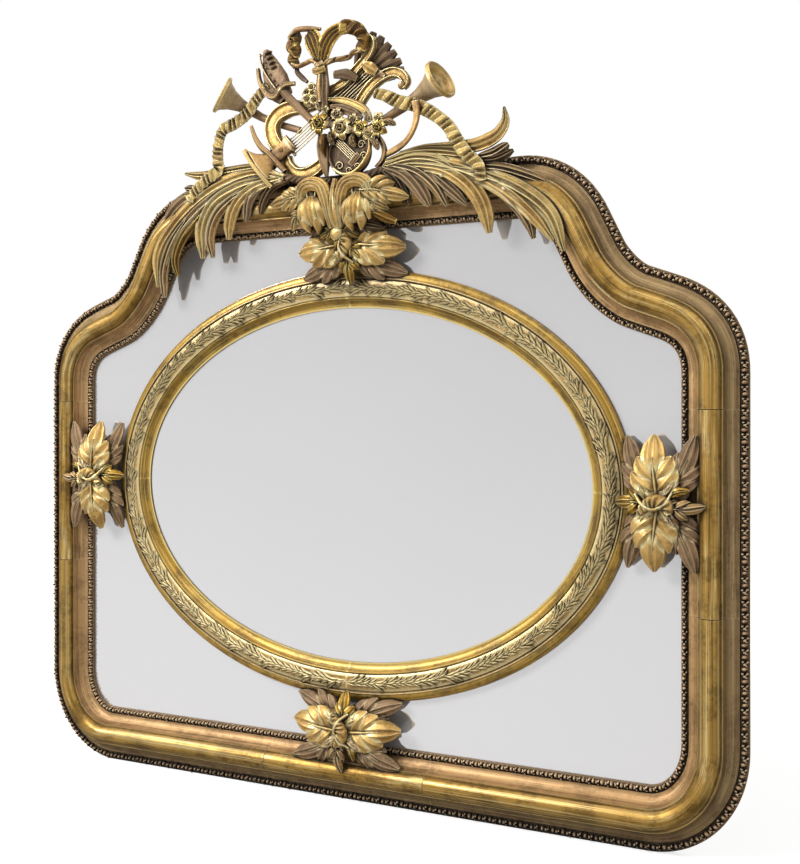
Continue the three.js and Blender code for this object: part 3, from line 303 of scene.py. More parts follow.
def hollow(start, end, corner, steps=12):
    """Quarter of an ellipse from one point to another, bulging towards the corner."""
    angle = np.linspace(0, pi / 2, steps + 1)[:, None]
    start, end, corner = (np.array(p, float) for p in (start, end, corner))
    return (corner + (start - corner) * (1 - np.sin(angle)) + (end - corner) * (1 - np.cos(angle))).tolist()


def half_round(start, width, base, rise, steps=20):
    angle = np.linspace(pi, 0, steps + 1)
    return np.column_stack([start + width / 2 * (1 + np.cos(angle)), base + rise * np.sin(angle)]).tolist()


def smooth(points, count):
    """Evenly spaced points of a smooth curve through the given ones, and its direction at each."""
    p = np.array(points, float)
    p = np.vstack([2 * p[0] - p[1], p, 2 * p[-1] - p[-2]])
    gaps = np.linalg.norm(np.diff(p, axis=0), axis=1) ** 0.5
    t = np.linspace(0, 1, 24, endpoint=False)[:, None]
    runs = []
    for i in range(1, len(p) - 2):
        before, here, after = gaps[i - 1:i + 2]
        a, b, c, d = p[i - 1:i + 3]
        leave = here * ((b - a) / before - (c - a) / (before + here) + (c - b) / here)
        arrive = here * ((c - b) / here - (d - b) / (here + after) + (d - c) / after)
        runs.append(b + leave * t + (3 * (c - b) - 2 * leave - arrive) * t**2
                    + (2 * (b - c) + leave + arrive) * t**3)
    fine = np.vstack([*runs, p[-2]])
    length = np.concatenate([[0], np.cumsum(np.linalg.norm(np.diff(fine, axis=0), axis=1))])
    at = np.linspace(0, length[-1], count + 1)
    line = np.column_stack([np.interp(at, length, fine[:, k]) for k in range(3)])
    along = np.gradient(line, axis=0)
    return line, along / np.linalg.norm(along, axis=1)[:, None]


def guided(points, count):
    """A smooth curve's points, with the directions along it, across it and up from it at each."""
    line, along = smooth(points, count)
    across = np.cross(along, FORWARD)
    across /= np.linalg.norm(across, axis=1)[:, None]
    return line, along, across, np.cross(across, along)


# ---------------------------------------------------------------- Carving

def rod(radius):
    return lambda t: np.full_like(t, radius)


def stepped(*values):
    return lambda t: np.interp(t, np.linspace(0, 1, len(values)), values)


def blade(radius, tip):
    return lambda t: radius * np.maximum(np.sin(pi * (0.12 + 0.88 * t)).clip(0) ** 0.7, tip)


def carved(points, width, thick, relief=None, steps=30, columns=14, back=0.35, edge=1.2, lead=None,
           belly=1.0):
    """A carved strand along a smooth curve. Across it, s runs from -1 to 1: width is half the strand's, thick
    its height in front, relief(t, s) is added in front, and lead(t, s) moves a point on along the strand."""
    line, along, across, up = guided(points, steps)
    backs = max(columns // 2, 3)
    s = np.concatenate([np.linspace(-1, 1, columns + 1), np.linspace(1, -1, backs + 1)])
    s = np.append(s, s[0])[None, :]
    front = np.append(np.arange(len(s[0]) - 1) <= columns, True)[None, :]
    t = np.linspace(0, 1, steps + 1)[:, None]
    round_off = (1 - np.abs(s) ** 2.4).clip(0) ** (0.5 * belly)
    height = thick(t) * round_off
    if relief is not None:
        height = height + relief(t, s)
    sunk = -edge - back * thick(t) * round_off
    height = np.where(front, height, sunk)
    reach = width(t) * s
    shift = lead(t, s) * width(t) if lead is not None else 0 * reach
    net = line[:, None, :] + across[:, None, :] * reach[..., None] + up[:, None, :] * height[..., None]
    net = net + along[:, None, :] * shift[..., None]
    return closed_up(shaped_grid(net))


def ridges(count, depth):
    """Narrow ridges along a strand, with hollows between."""
    def relief(t, s):
        furrow = (0.5 - 0.5 * np.cos(pi * count * (s + 1))) ** 0.7
        return -depth * furrow * np.sin(pi * (0.06 + 0.9 * t)).clip(0) ** 0.4
    return relief


def pleats(count, depth, slant):
    """Sharp pleats across a ribbon."""
    def relief(t, s):
        turn = count * t + slant * s + 0.16 * np.sin(2.1 * count * t)
        return depth * (4 * np.abs(turn % 1 - 0.5) - 1)
    return relief


def rims(depth, at, spread):
    """Two raised rims with a groove between."""
    return lambda t, s: -depth * (1 - np.exp(-(((np.abs(s) - at) / spread) ** 2)))


def veins(lobes, depth, rib):
    """A midrib, and side veins that sweep on towards the tip, with the leaf hollowed between them."""
    def relief(t, s):
        side = np.abs(s)
        wave = (0.5 + 0.5 * np.cos(2 * pi * (lobes * t - 0.8 * side))) ** 1.4
        fade = np.sin(pi * (0.04 + 0.94 * t)).clip(0) ** 0.5
        midrib = rib * np.exp(-((s / 0.13) ** 2)) - 0.5 * depth * np.exp(-(((side - 0.24) / 0.1) ** 2))
        return fade * (-depth * side ** 0.8 * wave + midrib)
    return relief


def lobed(radius, lobes, notch):
    """Half width of a leaf whose edge is cut into teeth that point on towards the tip."""
    def width(t):
        swell = np.sin(pi * np.minimum(0.12 + 0.88 * t, 0.985)) ** 0.62
        tooth = ((lobes * t) % 1) ** 0.7
        return radius * swell * (1 - notch * (1 - tooth) * (1 - 0.4 * t))
    return width


def leaf(points, radius, thick, lobes, rib=1.8, notch=0.3):
    """A carved leaf with a midrib, side veins and a toothed edge."""
    return carved(
        points, lobed(radius, lobes, notch), blade(thick, 0.3), veins(lobes, 0.4 * thick, rib),
        steps=lobes * 9, columns=22, lead=lambda t, s: 0.3 * np.abs(s) ** 1.6 * (1 - t) ** 0.3)


# Half widths of a spray's lobes, foot to point, as shares of its radius, and how far each pair reaches out.
SIDE_LOBE = (0.16, 0.34, 0.43, 0.46, 0.38, 0.10)
END_LOBE = (0.24, 0.48, 0.58, 0.58, 0.46, 0.12)
PAIR_REACH = (0.86, 1.0, 0.80)


def spray(points, radius, thick, gold, pairs=3):
    """A broad carved leaf: pointed lobes with rolled edges, in pairs along a midrib and one at the tip."""
    steps = 24
    line, along, across, _ = guided(points, steps)
    length = np.linalg.norm(np.diff(line, axis=0), axis=1).sum()
    lobe_height = stepped(thick * 0.6, thick, thick * 0.9, thick * 0.5)
    parts = []
    for k in range(pairs):
        foot = int(steps * (0.04 + 0.50 * k / pairs))
        wide = radius * PAIR_REACH[k]
        for side in (-1, 1):
            out = side * wide * chance.uniform(0.88, 1.06)
            ahead = length * chance.uniform(0.30, 0.36)
            base, way, aside = line[foot], along[foot], across[foot]
            spine = [base, base + way * ahead * 0.45 + aside * out * 0.52 + FORWARD * thick * 0.35,
                     base + way * ahead + aside * out * 0.96 - FORWARD * thick * 0.5]
            lobe = carved(spine, stepped(*[radius * share for share in SIDE_LOBE]), lobe_height,
                          ridges(2, thick * 0.36), steps=14, columns=16)
            parts.append(finished(lobe, gold))
    tip = carved([line[int(steps * 0.30)], line[int(steps * 0.66)] + FORWARD * thick * 0.3, line[-1]],
                 stepped(*[radius * share for share in END_LOBE]), lobe_height, ridges(3, thick * 0.36),
                 steps=18, columns=20)
    rib = carved([p + FORWARD * thick * 0.35 for p in (line[0], line[steps // 3], line[int(steps * 0.7)])],
                 stepped(radius * 0.10, radius * 0.08, radius * 0.04), rod(thick * 0.75), steps=14, columns=8)
    return [*parts, finished(tip, gold), finished(rib, gold)]


def turned(points, profile, around=20, steps=60):
    """A turned shape along a smooth curve. The profile's points are [share of the way along, radius]."""
    line, along, across, up = guided(points, steps)
    share = np.array([p[0] for p in profile]) * steps
    radius = np.array([p[1] for p in profile])[:, None]
    whole = np.arange(steps + 1)

    def picked(rows):
        return np.column_stack([np.interp(share, whole, rows[:, k]) for k in range(3)])

    centre, side, rise = picked(line), picked(across), picked(up)
    past = (share - share.clip(0, steps)) * np.linalg.norm(line[-1] - line[-2])
    centre = centre + picked(along) * past[:, None]
    angle = np.linspace(0, 2 * pi, around + 1)[None, :]
    net = centre[:, None, :] + side[:, None, :] * (radius * np.cos(angle))[..., None]
    net = net + rise[:, None, :] * (radius * np.sin(angle))[..., None]
    return closed_up(shaped_grid(net), sharp=50)


def lathed(x, y, z, section, around):
    """A turned shape that faces the front. The section's points are [radius, forwards]."""
    angle = np.linspace(0, 2 * pi, around + 1)[None, :]
    radius = np.array([p[0] for p in section])[:, None]
    rise = np.array([p[1] for p in section])[:, None] + 0 * angle
    net = np.stack([x + radius * np.cos(angle), y + radius * np.sin(angle), z + rise], axis=2)
    return closed_up(shaped_grid(net))


# ---------------------------------------------------------------- Finishes

class Value:
    """A shader number that reads like a Python number."""

    def __init__(self, nodes, socket):
        self.nodes, self.socket = nodes, socket

    def maths(self, operation, *others):
        inputs = {i: other for i, other in enumerate((self, *others))}
        return self.nodes.node("ShaderNodeMath", {"operation": operation}, inputs)

    def __add__(self, other): return self.maths("ADD", other)
    def __radd__(self, other): return self.maths("ADD", other)
    def __sub__(self, other): return self.maths("SUBTRACT", other)
    def __rsub__(self, other): return (self * -1) + other
    def __mul__(self, other): return self.maths("MULTIPLY", other)
    def __rmul__(self, other): return self.maths("MULTIPLY", other)

    def between(self, low, high):
        """0 below low and 1 above high, smoothly; or the other way round where low is above high."""
        inputs = {"Value": self, "From Min": low, "From Max": high}
        return self.nodes.node("ShaderNodeMapRange", {"interpolation_type": "SMOOTHSTEP"}, inputs)


class Nodes:
    """A node tree, with one method that adds any node."""

    def __init__(self, tree):
        self.tree = tree

    def node(self, kind, settings, inputs, output=0):
        """Any node: its settings are set first, then its sockets' values or links."""
        made = self.tree.nodes.new(kind)
        for key, value in settings.items():
            setattr(made, key, value)
        for key, value in inputs.items():
            if isinstance(value, Value):
                self.tree.links.new(value.socket, made.inputs[key])
            else:
                made.inputs[key].default_value = value
        return None if output is None else Value(self, made.outputs[output])

    def rays(self):
        """Which ray looks: one from the camera, or one that bounced off or passed through something."""
        camera, glossy, passing = (self.node("ShaderNodeLightPath", {}, {}, f"Is {kind} Ray")
                                   for kind in ("Camera", "Glossy", "Transmission"))
        return camera, glossy.maths("MAXIMUM", passing)

    def mix(self, below, above, share):
        """One colour over another."""
        inputs = {0: share, 6: tint(below), 7: tint(above)}
        return self.node("ShaderNodeMix", {"data_type": "RGBA"}, inputs, 2)


class Finish(Nodes):
    """A material under a name, with its nodes."""

    def __init__(self, name):
        self.material = bpy.data.materials.new(name)
        self.material.use_nodes = True
        super().__init__(self.material.node_tree)
        self.shader = self.tree.nodes["Principled BSDF"]
        self.place = self.node("ShaderNodeTexCoord", {}, {}, "Object")

    def noise(self, scale, detail=3.0, roughness=0.55, place=None):
        inputs = {"Vector": place or self.place, "Scale": scale, "Detail": detail, "Roughness": roughness}
        return self.node("ShaderNodeTexNoise", {}, inputs, "Fac")

    def stretched(self, scale, source=None):
        """Coordinates, the object's own unless others are given, scaled by a vector."""
        return self.node("ShaderNodeMapping", {}, {"Vector": source or self.place, "Scale": scale})

    def closed(self, distance, inside=False):
        """How hidden the surface is, 0 to 1: in a recess, or, looked at from the inside, on an edge."""
        settings = {"samples": 5, "inside": inside, "only_local": inside}
        return 1 - self.node("ShaderNodeAmbientOcclusion", settings, {"Distance": distance}, "AO")

    def set(self, **sockets):
        for name, value in sockets.items():
            name = name.replace("_", " ")
            if isinstance(value, Value):
                self.tree.links.new(value.socket, self.shader.inputs[name])
            else:
                self.shader.inputs[name].default_value = value
        return self

    def bumped(self, height, distance, strength):
        inputs = {"Height": height, "Distance": distance, "Strength": strength}
        normal = self.node("ShaderNodeBump", {}, inputs)
        self.tree.links.new(normal.socket, self.shader.inputs["Normal"])
        return self


def tint(colour):
    """A colour written as a hex string, in the renderer's linear light. Links pass through."""
    if not isinstance(colour, str):
        return colour
    parts = [int(colour[i:i + 2], 16) / 255 for i in (0, 2, 4)]
    return (*[p / 12.92 if p <= 0.04045 else ((p + 0.055) / 1.055) ** 2.4 for p in parts], 1.0)


# Blotches, speckles and grains to a metre, and how far from it a surface looks for walls, in metres, which
# sets the reach of its painted shade and painted highlight.
BLOTCHES, SPECKLES, GRAINS = 19, 150, 620
RECESS_REACH, HOLLOW_REACH, EDGE_REACH = 0.008, 0.05, 0.0035


def gilding(name, gold, bright, dull, shade, ground, wear, metal, rough, grain=1.7, dirt_and_shade_share=1.0,
            drawn=False, coat=0.0):
    """Leaf over a ground: rubbed pale on its edges, where a painted highlight also lies, dull in blotches,
    worn through to the ground, and darkened in its recesses and under other parts by dirt and painted shade
    together. A drawn finish also has fine streaks of painted highlight and painted shade along the moulding."""
    finish = Finish(name)
    blotch = finish.noise(BLOTCHES, 4, 0.6)
    speckle = finish.noise(SPECKLES, 3, 0.65)
    fine = finish.noise(GRAINS, 2, 0.6)
    # Occlusion: at two reaches it finds recesses and what lies under other parts, for the painted shade; from
    # inside it finds edges, for the painted highlight.
    recess = finish.closed(RECESS_REACH)
    hidden = finish.closed(HOLLOW_REACH)
    edge = finish.closed(EDGE_REACH, inside=True)
    patches = (blotch * 0.7 + speckle * 0.3).between(0.44, 0.60)
    colour = finish.mix(gold, dull, patches * 0.85)
    # Painted highlight, with some rubbing: edges and ridges found from inside, and speckles, go towards the
    # bright colour.
    lit = (edge * 0.85 + speckle * 0.4 + fine * 0.18 * grain).between(0.50, 0.80) * 0.9
    # Streaks along a drawn moulding: the dark ones are painted shade and the bright ones painted highlight.
    if drawn:
        along = finish.node("ShaderNodeTexCoord", {}, {}, "UV")
        streaks = finish.noise(1.0, 4, 0.7, place=finish.stretched((110, 5, 1), along))
        broad = finish.noise(1.0, 3, 0.5, place=finish.stretched((26, 3, 1), along))
        colour = finish.mix(colour, shade, (broad * 0.6 + streaks * 0.4).between(0.50, 0.66) * 0.55)
        lit = lit.maths("MAXIMUM", (streaks * 0.6 + broad * 0.4).between(0.50, 0.36) * 0.8)
    colour = finish.mix(colour, bright, lit)
    bare = (speckle * 0.55 + blotch * 0.45).between(0.60, 0.68) * wear
    colour = finish.mix(colour, ground, bare)
    # Dirt and painted shade together: occluded places darken towards the shade colour, with noise for the
    # dirt.
    dirt_and_shade = (recess + hidden * 0.75 + speckle * 0.3 + fine * 0.16 * grain).between(0.50, 0.96) * dirt_and_shade_share
    colour = finish.mix(colour, shade, dirt_and_shade)
    finish.set(Base_Color=colour, Metallic=(1 - dirt_and_shade) * (1 - bare * 0.8) * metal, Coat_Weight=coat,
               Coat_Roughness=0.25, Roughness=rough + dirt_and_shade * 0.3 + blotch * 0.16 - lit * 0.05)
    return finish.bumped(blotch * 0.5 + speckle * 0.6 + fine * 0.2, 0.0012 * grain, 0.7).material


bright_gold = gilding("bright_gold", "c4952e", "fae292", "82621c", "2a1c08", "734020", wear=0.45, metal=0.7,
                      rough=0.31)
pale_gold = gilding("pale_gold", "e2ba6e", "fdeaae", "ab8244", "2e1d0b", "83603a", wear=0.4, metal=0.5,
                    rough=0.34, dirt_and_shade_share=0.8)
ribbon_gold = gilding("ribbon_gold", "e2c278", "feefb8", "ab8a50", "30200d", "7c5a34", wear=0.4, metal=0.5,
                      rough=0.34)
worn_gold = gilding("worn_gold", "bd9558", "f8e2b2", "876440", "281a0f", "6a543c", wear=0.7, metal=0.4,
                    rough=0.4)
bronze_gold = gilding("bronze_gold", "785416", "e8c46c", "4a320f", "1c1106", "4a3416", wear=0.5, metal=0.6,
                      rough=0.34)
grey_ground = gilding("grey_ground", "a0805c", "dec496", "745a3e", "22160b", "a08048", wear=0.6, metal=0.2,
                      rough=0.46, dirt_and_shade_share=0.8)
dark_ground = gilding("dark_ground", "6e563b", "b8986c", "4b3927", "170f08", "7c6034", wear=0.5, metal=0.15,
                      rough=0.5, dirt_and_shade_share=0.9)
# A dark brown bed under the beads, painted shade for the gaps between them.
bead_bed_shaded = gilding("bead_bed_shaded", "5e462a", "8d6e44", "45321c", "1c1108", "3c2b1a", wear=0.5, metal=0.2,
                   rough=0.5)
torus_gold = gilding("torus_gold", "b28a40", "f6e0a2", "765820", "2e200e", "5a3f1d", wear=0.4, metal=0.7,
                     rough=0.33, grain=0.5, drawn=True)
# One cove wash in two copies: the inner cove's lighter, partly painted light, and the outer cove's darker and
# greyer, partly painted shade.
inner_wash_lit = gilding("inner_wash_lit", "c89e6a", "e6c490", "98764c", "2e1f12", "6b5434", wear=0.5, metal=0.45,
                     rough=0.4, grain=0.4, drawn=True)
outer_wash_shaded = gilding("outer_wash_shaded", "a2865a", "ccb084", "806544", "2a1c0c", "5c4628", wear=0.5, metal=0.55,
                     rough=0.4, grain=0.4, drawn=True)
oval_gold = gilding("oval_gold", "ba9032", "fae08c", "725618", "2a1c09", "86421e", wear=0.9, metal=0.6,
                    rough=0.3, grain=0.5, drawn=True, coat=0.35)
laurel_gold = gilding("laurel_gold", "bc9450", "fce8ac", "866434", "33220f", "75502c", wear=0.5, metal=0.5,
                      rough=0.34, coat=0.3)
bead_gold = gilding("bead_gold", "b8906a", "f6daae", "866648", "170f08", "594430", wear=0.5, metal=0.35,
                    rough=0.42, dirt_and_shade_share=1.15)
side_wall = gilding("side_wall", "7c5e3a", "9c7f52", "5d462b", "271a11", "4a3724", wear=0.7, metal=0.2,
                    rough=0.55)


def timber(name, pale, dark, grain_scale):
    """Old pine with its grain, stained and dusty."""
    finish = Finish(name)
    grain = finish.noise(1.0, 6, 0.6, place=finish.stretched(grain_scale))
    broad = finish.noise(5, 3, 0.5)
    line = (grain * 1.6 + broad * 0.5).between(0.75, 1.35)
    dust = finish.noise(60, 4, 0.7).between(0.5, 0.75)
    colour = finish.mix(finish.mix(pale, dark, line), "8d8272", dust * 0.25)
    finish.set(Base_Color=colour, Roughness=0.72 + line * 0.15)
    return finish.bumped(grain, 0.0012, 0.8).material


pine_across = timber("pine_across", "b08a5c", "6f4c2b", (6, 40, 90))
pine_upright = timber("pine_upright", "a98457", "684628", (90, 40, 5))


def steel():
    finish = Finish("hanger_steel")
    spots = finish.noise(220, 4, 0.7)
    rust = (spots * 0.7 + finish.noise(45, 3) * 0.5).between(0.62, 0.78)
    finish.set(Base_Color=finish.mix("8e8c86", "5a3d28", rust * 0.6), Metallic=1 - rust * 0.8,
               Roughness=0.38 + rust * 0.35)
    return finish.bumped(spots, 0.0003, 0.6).material


def mirror_glass():
    """Silvered glass with the slight waves of an old plate, its silvering a little hazed."""
    finish = Finish("mirror_glass")
    waves = finish.noise(2.2, 1, 0.3)
    finish.set(Base_Color=finish.mix("e4e3e4", "dfdedf", waves), Metallic=0.62, Roughness=0.04)
    return finish.bumped(waves, 0.0004, 0.25).material


hanger_steel, silvered_glass = steel(), mirror_glass()

# ---------------------------------------------------------------- Outline of the outer frame

ear_start = (HALF_SIGHT, SIGHT_TOP - SHOULDER_DROP)
ear_end = (ear_start[0] - EAR[0], ear_start[1] + EAR[1])
waist_start = (ear_end[0] - SHOULDER_SLOPE[0], ear_end[1] + SHOULDER_SLOPE[1])
waist_end = (waist_start[0] - WAIST[0], waist_start[1] + WAIST[1])
brow_start = (waist_end[0] - NECK[0], waist_end[1] + NECK[1])
brow_end = (brow_start[0] - BROW_WIDTH, SIGHT_TOP)
slope_unit = np.array([-SHOULDER_SLOPE[0], SHOULDER_SLOPE[1]]) / hypot(*SHOULDER_SLOPE)
neck_unit = np.array([-NECK[0], NECK[1]]) / hypot(*NECK)
corner_start = (HALF_SIGHT - CORNER_WIDTH, SIGHT_BOTTOM)
corner_end = (HALF_SIGHT, SIGHT_BOTTOM + CORNER_HEIGHT)


def from_point(point, direction, length):
    return np.array(point) + np.array(direction) * length


def lower_corner(low=0.0, high=1.0):
    handle = 0.55
    return bend(
        corner_start, (corner_start[0] + CORNER_WIDTH * handle, SIGHT_BOTTOM),
        (HALF_SIGHT, corner_end[1] - CORNER_HEIGHT * handle), corner_end, 22, low, high)


def shoulder():
    return chained(
        bend(ear_start, from_point(ear_start, (0, 1), EAR[1] * 0.65),
             from_point(ear_end, slope_unit, -EAR[0] * 0.65), ear_end, 16),
        bend(waist_start, from_point(waist_start, slope_unit, WAIST[0] * 0.45),
             from_point(waist_end, neck_unit, -WAIST[1] * 0.41), waist_end, 20),
        bend(brow_start, from_point(brow_start, neck_unit, BROW_WIDTH * 0.45),
             from_point(brow_end, (1, 0), BROW_WIDTH * 0.5), brow_end, 16))


def side_lengths(block_centre):
    low, high = (HALF_SIGHT, block_centre - HALF_BLOCK), (HALF_SIGHT, block_centre + HALF_BLOCK)
    return {
        "corner": chained(straight((HALF_BLOCK, SIGHT_BOTTOM), corner_start), lower_corner(),
                          straight(corner_end, low)),
        "stile": straight(low, high),
        "shoulder": chained(straight(high, ear_start), shoulder(),
                            straight(brow_end, (HALF_TOP_RAIL, SIGHT_TOP))),
    }


right, left = side_lengths(RIGHT_BLOCK), side_lengths(LEFT_BLOCK)
frame_lengths = {
    "bottom_rail": straight((-HALF_BLOCK, SIGHT_BOTTOM), (HALF_BLOCK, SIGHT_BOTTOM)),
    "bottom_right_corner": right["corner"], "right_stile": right["stile"],
    "right_shoulder": right["shoulder"],
    "top_rail": straight((HALF_TOP_RAIL, SIGHT_TOP), (-HALF_TOP_RAIL, SIGHT_TOP)),
    "left_shoulder": mirrored(left["shoulder"]), "left_stile": mirrored(left["stile"]),
    "bottom_left_corner": mirrored(left["corner"]),
}

inner_cove = hollow((COVE_START, COVE_FOOT), (COVE_END, FILLET_TOP), (COVE_END, COVE_FOOT))
torus = half_round(TORUS_START, TORUS_WIDTH, FILLET_TOP + FILLET_STEP, TORUS_RISE)
outer_cove = hollow(
    (OUTER_COVE_START, FILLET_TOP), (OUTER_COVE_END, OUTER_COVE_FOOT), (OUTER_COVE_START, OUTER_COVE_FOOT))
frame_section = [
    (0, LIP_BACK), (0, BEAD_SEAT), (COVE_START, BEAD_SEAT), *inner_cove, (COVE_END, FILLET_TOP + FILLET_STEP),
    *torus, (OUTER_COVE_START, FILLET_TOP + FILLET_STEP), *outer_cove, (OUTER_COVE_END, OUTER_BEAD_SEAT),
    (MOULDING_WIDTH, OUTER_BEAD_SEAT), (MOULDING_WIDTH - BACK_DRAFT, 0), (REBATE_WIDTH, 0),
    (REBATE_WIDTH, LIP_BACK)]
inner_band = 3 + len(inner_cove)
torus_band = inner_band + 1 + len(torus)
outer_band = torus_band + 2 + len(outer_cove)


def frame_finish(segment):
    """0 is the inner cove, 1 the half round, 2 the outer cove, 3 the side wall and 4 the bare back."""
    return sum(segment >= end for end in (inner_band, torus_band, outer_band + 1, outer_band + 2))


for name, stations in frame_lengths.items():
    length = moulded(frame_section, drawn_in(stations), frame_finish, FILLET_TOP - 1)
    pine = pine_upright if "stile" in name or "shoulder" in name else pine_across
    finished(length, inner_wash_lit, torus_gold, outer_wash_shaded, side_wall, pine)
    put_up(name, [length])

# ---------------------------------------------------------------- Beads

side_bead = chained(lower_corner(0.5, 1), straight(corner_end, ear_start), shoulder())
half_bottom = chained(straight((0, SIGHT_BOTTOM), corner_start), lower_corner(0, 0.5))
bead_lengths = {
    "bottom": chained(mirrored(half_bottom), half_bottom),
    "right": side_bead,
    "top": straight(brow_end, (-brow_end[0], SIGHT_TOP)),
    "left": mirrored(side_bead),
}


def bead_unit(pitch, width, rise):
    """A flower-like pebble, a crossing pair of lozenges and two smaller pebbles."""
    return joined([
        pebble((pitch * 0.44, width * 0.76, rise * 2.0), (-pitch * 0.26, width * 0.05, 0), turn=0.2),
        pebble((pitch * 0.20, width * 0.80, rise * 1.6), (pitch * 0.10, 0, 0), turn=-0.75),
        pebble((pitch * 0.20, width * 0.80, rise * 1.5), (pitch * 0.13, 0, 0), turn=0.75),
        pebble((pitch * 0.26, width * 0.42, rise * 1.9), (pitch * 0.33, width * 0.20, 0)),
        pebble((pitch * 0.20, width * 0.34, rise * 1.7), (pitch * 0.33, -width * 0.26, 0)),
    ])


def bead_run(name, stations, start, width, seat, rise, pitch):
    base = moulded(half_round(start, width, seat, rise * 0.16, 8), drawn_in(stations))
    unit = bead_unit(pitch, width * BEAD_SHARE, rise)
    places = places_along(drawn_in(stations, 1.0), start + width / 2, seat + rise * 0.1, pitch,
                          BEAD_UNEVENNESS)
    pebbles = strung(unit, places)
    put_away(unit)
    put_up(name, [finished(base, bead_bed_shaded), finished(pebbles, bead_gold)])


outer_start = OUTER_COVE_END + FIT_GAP
for side, stations in bead_lengths.items():
    bead_run(f"{side}_inner_bead", stations, 0, INNER_BEAD_WIDTH, BEAD_SEAT + FIT_GAP, INNER_BEAD_RISE,
             INNER_BEAD_PITCH)
    bead_run(f"{side}_outer_bead", stations, outer_start, MOULDING_WIDTH - outer_start,
             OUTER_BEAD_SEAT + FIT_GAP, OUTER_BEAD_RISE, OUTER_BEAD_PITCH)

# ---------------------------------------------------------------- Oval frame

oval_cove_foot = LIP_BACK + 2.5
oval_cove = hollow((0, oval_cove_foot), (OVAL_COVE_WIDTH, OVAL_COVE_TOP), (OVAL_COVE_WIDTH, oval_cove_foot),
                   10)
oval_ogee = hollow((OVAL_BAND_END + 1.2, OGEE_TOP - 1), (OVAL_WIDTH, LIP_BACK + 4),
                   (OVAL_WIDTH, OGEE_TOP - 1), 12)
raised_line = half_round(LAUREL_END + 1.2, 4.2, OGEE_TOP - 1, 2.2, 6)
oval_section = [
    (0, LIP_BACK), *oval_cove, (OVAL_COVE_WIDTH + 1.5, OVAL_COVE_TOP + 1.5),
    (LAUREL_START - 0.6, OVAL_COVE_TOP + 0.6),
    (LAUREL_START, LAUREL_SEAT), (LAUREL_END, LAUREL_SEAT), *raised_line, *oval_ogee, (OVAL_WIDTH, LIP_BACK)]
raised_line_start = 1 + len(oval_cove) + 4


def oval_finish(segment):
    """The raised line outside the laurel, finish 1, is paler than the rest."""
    return int(raised_line_start <= segment < raised_line_start + len(raised_line) - 1)


def oval_stations(quarter, steps=40):
    angle = quarter * pi / 2 + np.linspace(0, pi / 2, steps + 1)
    normal = np.column_stack([np.cos(angle) / OVAL_HALF_WIDTH, np.sin(angle) / OVAL_HALF_HEIGHT])
    normal /= np.linalg.norm(normal, axis=1)[:, None]
    return np.column_stack(
        [OVAL_HALF_WIDTH * np.cos(angle), OVAL_CENTRE + OVAL_HALF_HEIGHT * np.sin(angle), normal])


# Each leaf of the laurel: the side it leans to, its turn, its length and where it starts.
LAUREL_LEAVES = ((-1, -0.36, 22, -3), (1, 0.40, 21, 2), (0, 0.06, 20, 0), (1, 0.16, 17, 6),
                 (-1, -0.14, 18, 5))


def laurel_unit():
    """Slender leaves that lie along the band, splayed to both sides, with a berry between."""
    leaves = []
    for side, turn, reach, start in LAUREL_LEAVES:
        tip = (start + reach * cos(turn), reach * sin(turn) + side * 2.4, 2.4 - 1.5 * abs(side))
        middle = (start + reach * 0.5 * cos(turn), reach * sin(turn) * 0.5 + side * 1.2,
                  4.0 - 1.0 * abs(side))
        leaves.append(carved(
            [(start - 2, side * 1.5, 0.8), middle, tip], blade(2.7, 0.1), blade(2.0, 0.3),
            lambda t, s: 0.8 * np.exp(-((s / 0.3) ** 2)), steps=4, columns=4, edge=0.5))
    berry = pebble((2.8, 2.8, 2.8), (8, 8.6, 1.8), segments=6, rings=4)
    return joined([*leaves, berry])


laurel = laurel_unit()
laurel_section = half_round(
    LAUREL_START + 0.05, LAUREL_END - LAUREL_START - 0.1, LAUREL_SEAT + FIT_GAP, LAUREL_RISE * 0.5, 10)
for quarter, name in enumerate(["upper_right", "upper_left", "lower_left", "lower_right"]):
    stations = drawn_in(oval_stations(quarter))
    oval_length = finished(moulded(oval_section, stations, oval_finish), oval_gold, laurel_gold)
    put_up(f"{name}_oval_frame", [oval_length])
    places = places_along(stations, (LAUREL_START + LAUREL_END) / 2, LAUREL_SEAT + LAUREL_RISE * 0.22,
                          LAUREL_PITCH, LAUREL_UNEVENNESS)
    if "left" in name:  # the leaves climb from the lowest point of the oval on both sides
        places = [place @ np.diag([-1.0, -1.0, 1.0, 1.0]) for place in places]
    band = finished(moulded(laurel_section, stations), laurel_gold)
    put_up(f"{name}_laurel_band", [band, finished(strung(laurel, places), laurel_gold)])
put_away(laurel)

# ---------------------------------------------------------------- Leaf clasps

CLASP_SHIFTS = {"top": 16, "bottom": 6, "left": 5, "right": -12}


def clasp_spot(side, along, out):
    shift = CLASP_SHIFTS[side]
    return {
        "top": (shift + along, SIGHT_TOP + out),
        "bottom": (shift + along, SIGHT_BOTTOM - out),
        "left": (-HALF_SIGHT - out, OVAL_CENTRE + shift + along),
        "right": (HALF_SIGHT + out, OVAL_CENTRE + shift + along),
    }[side]


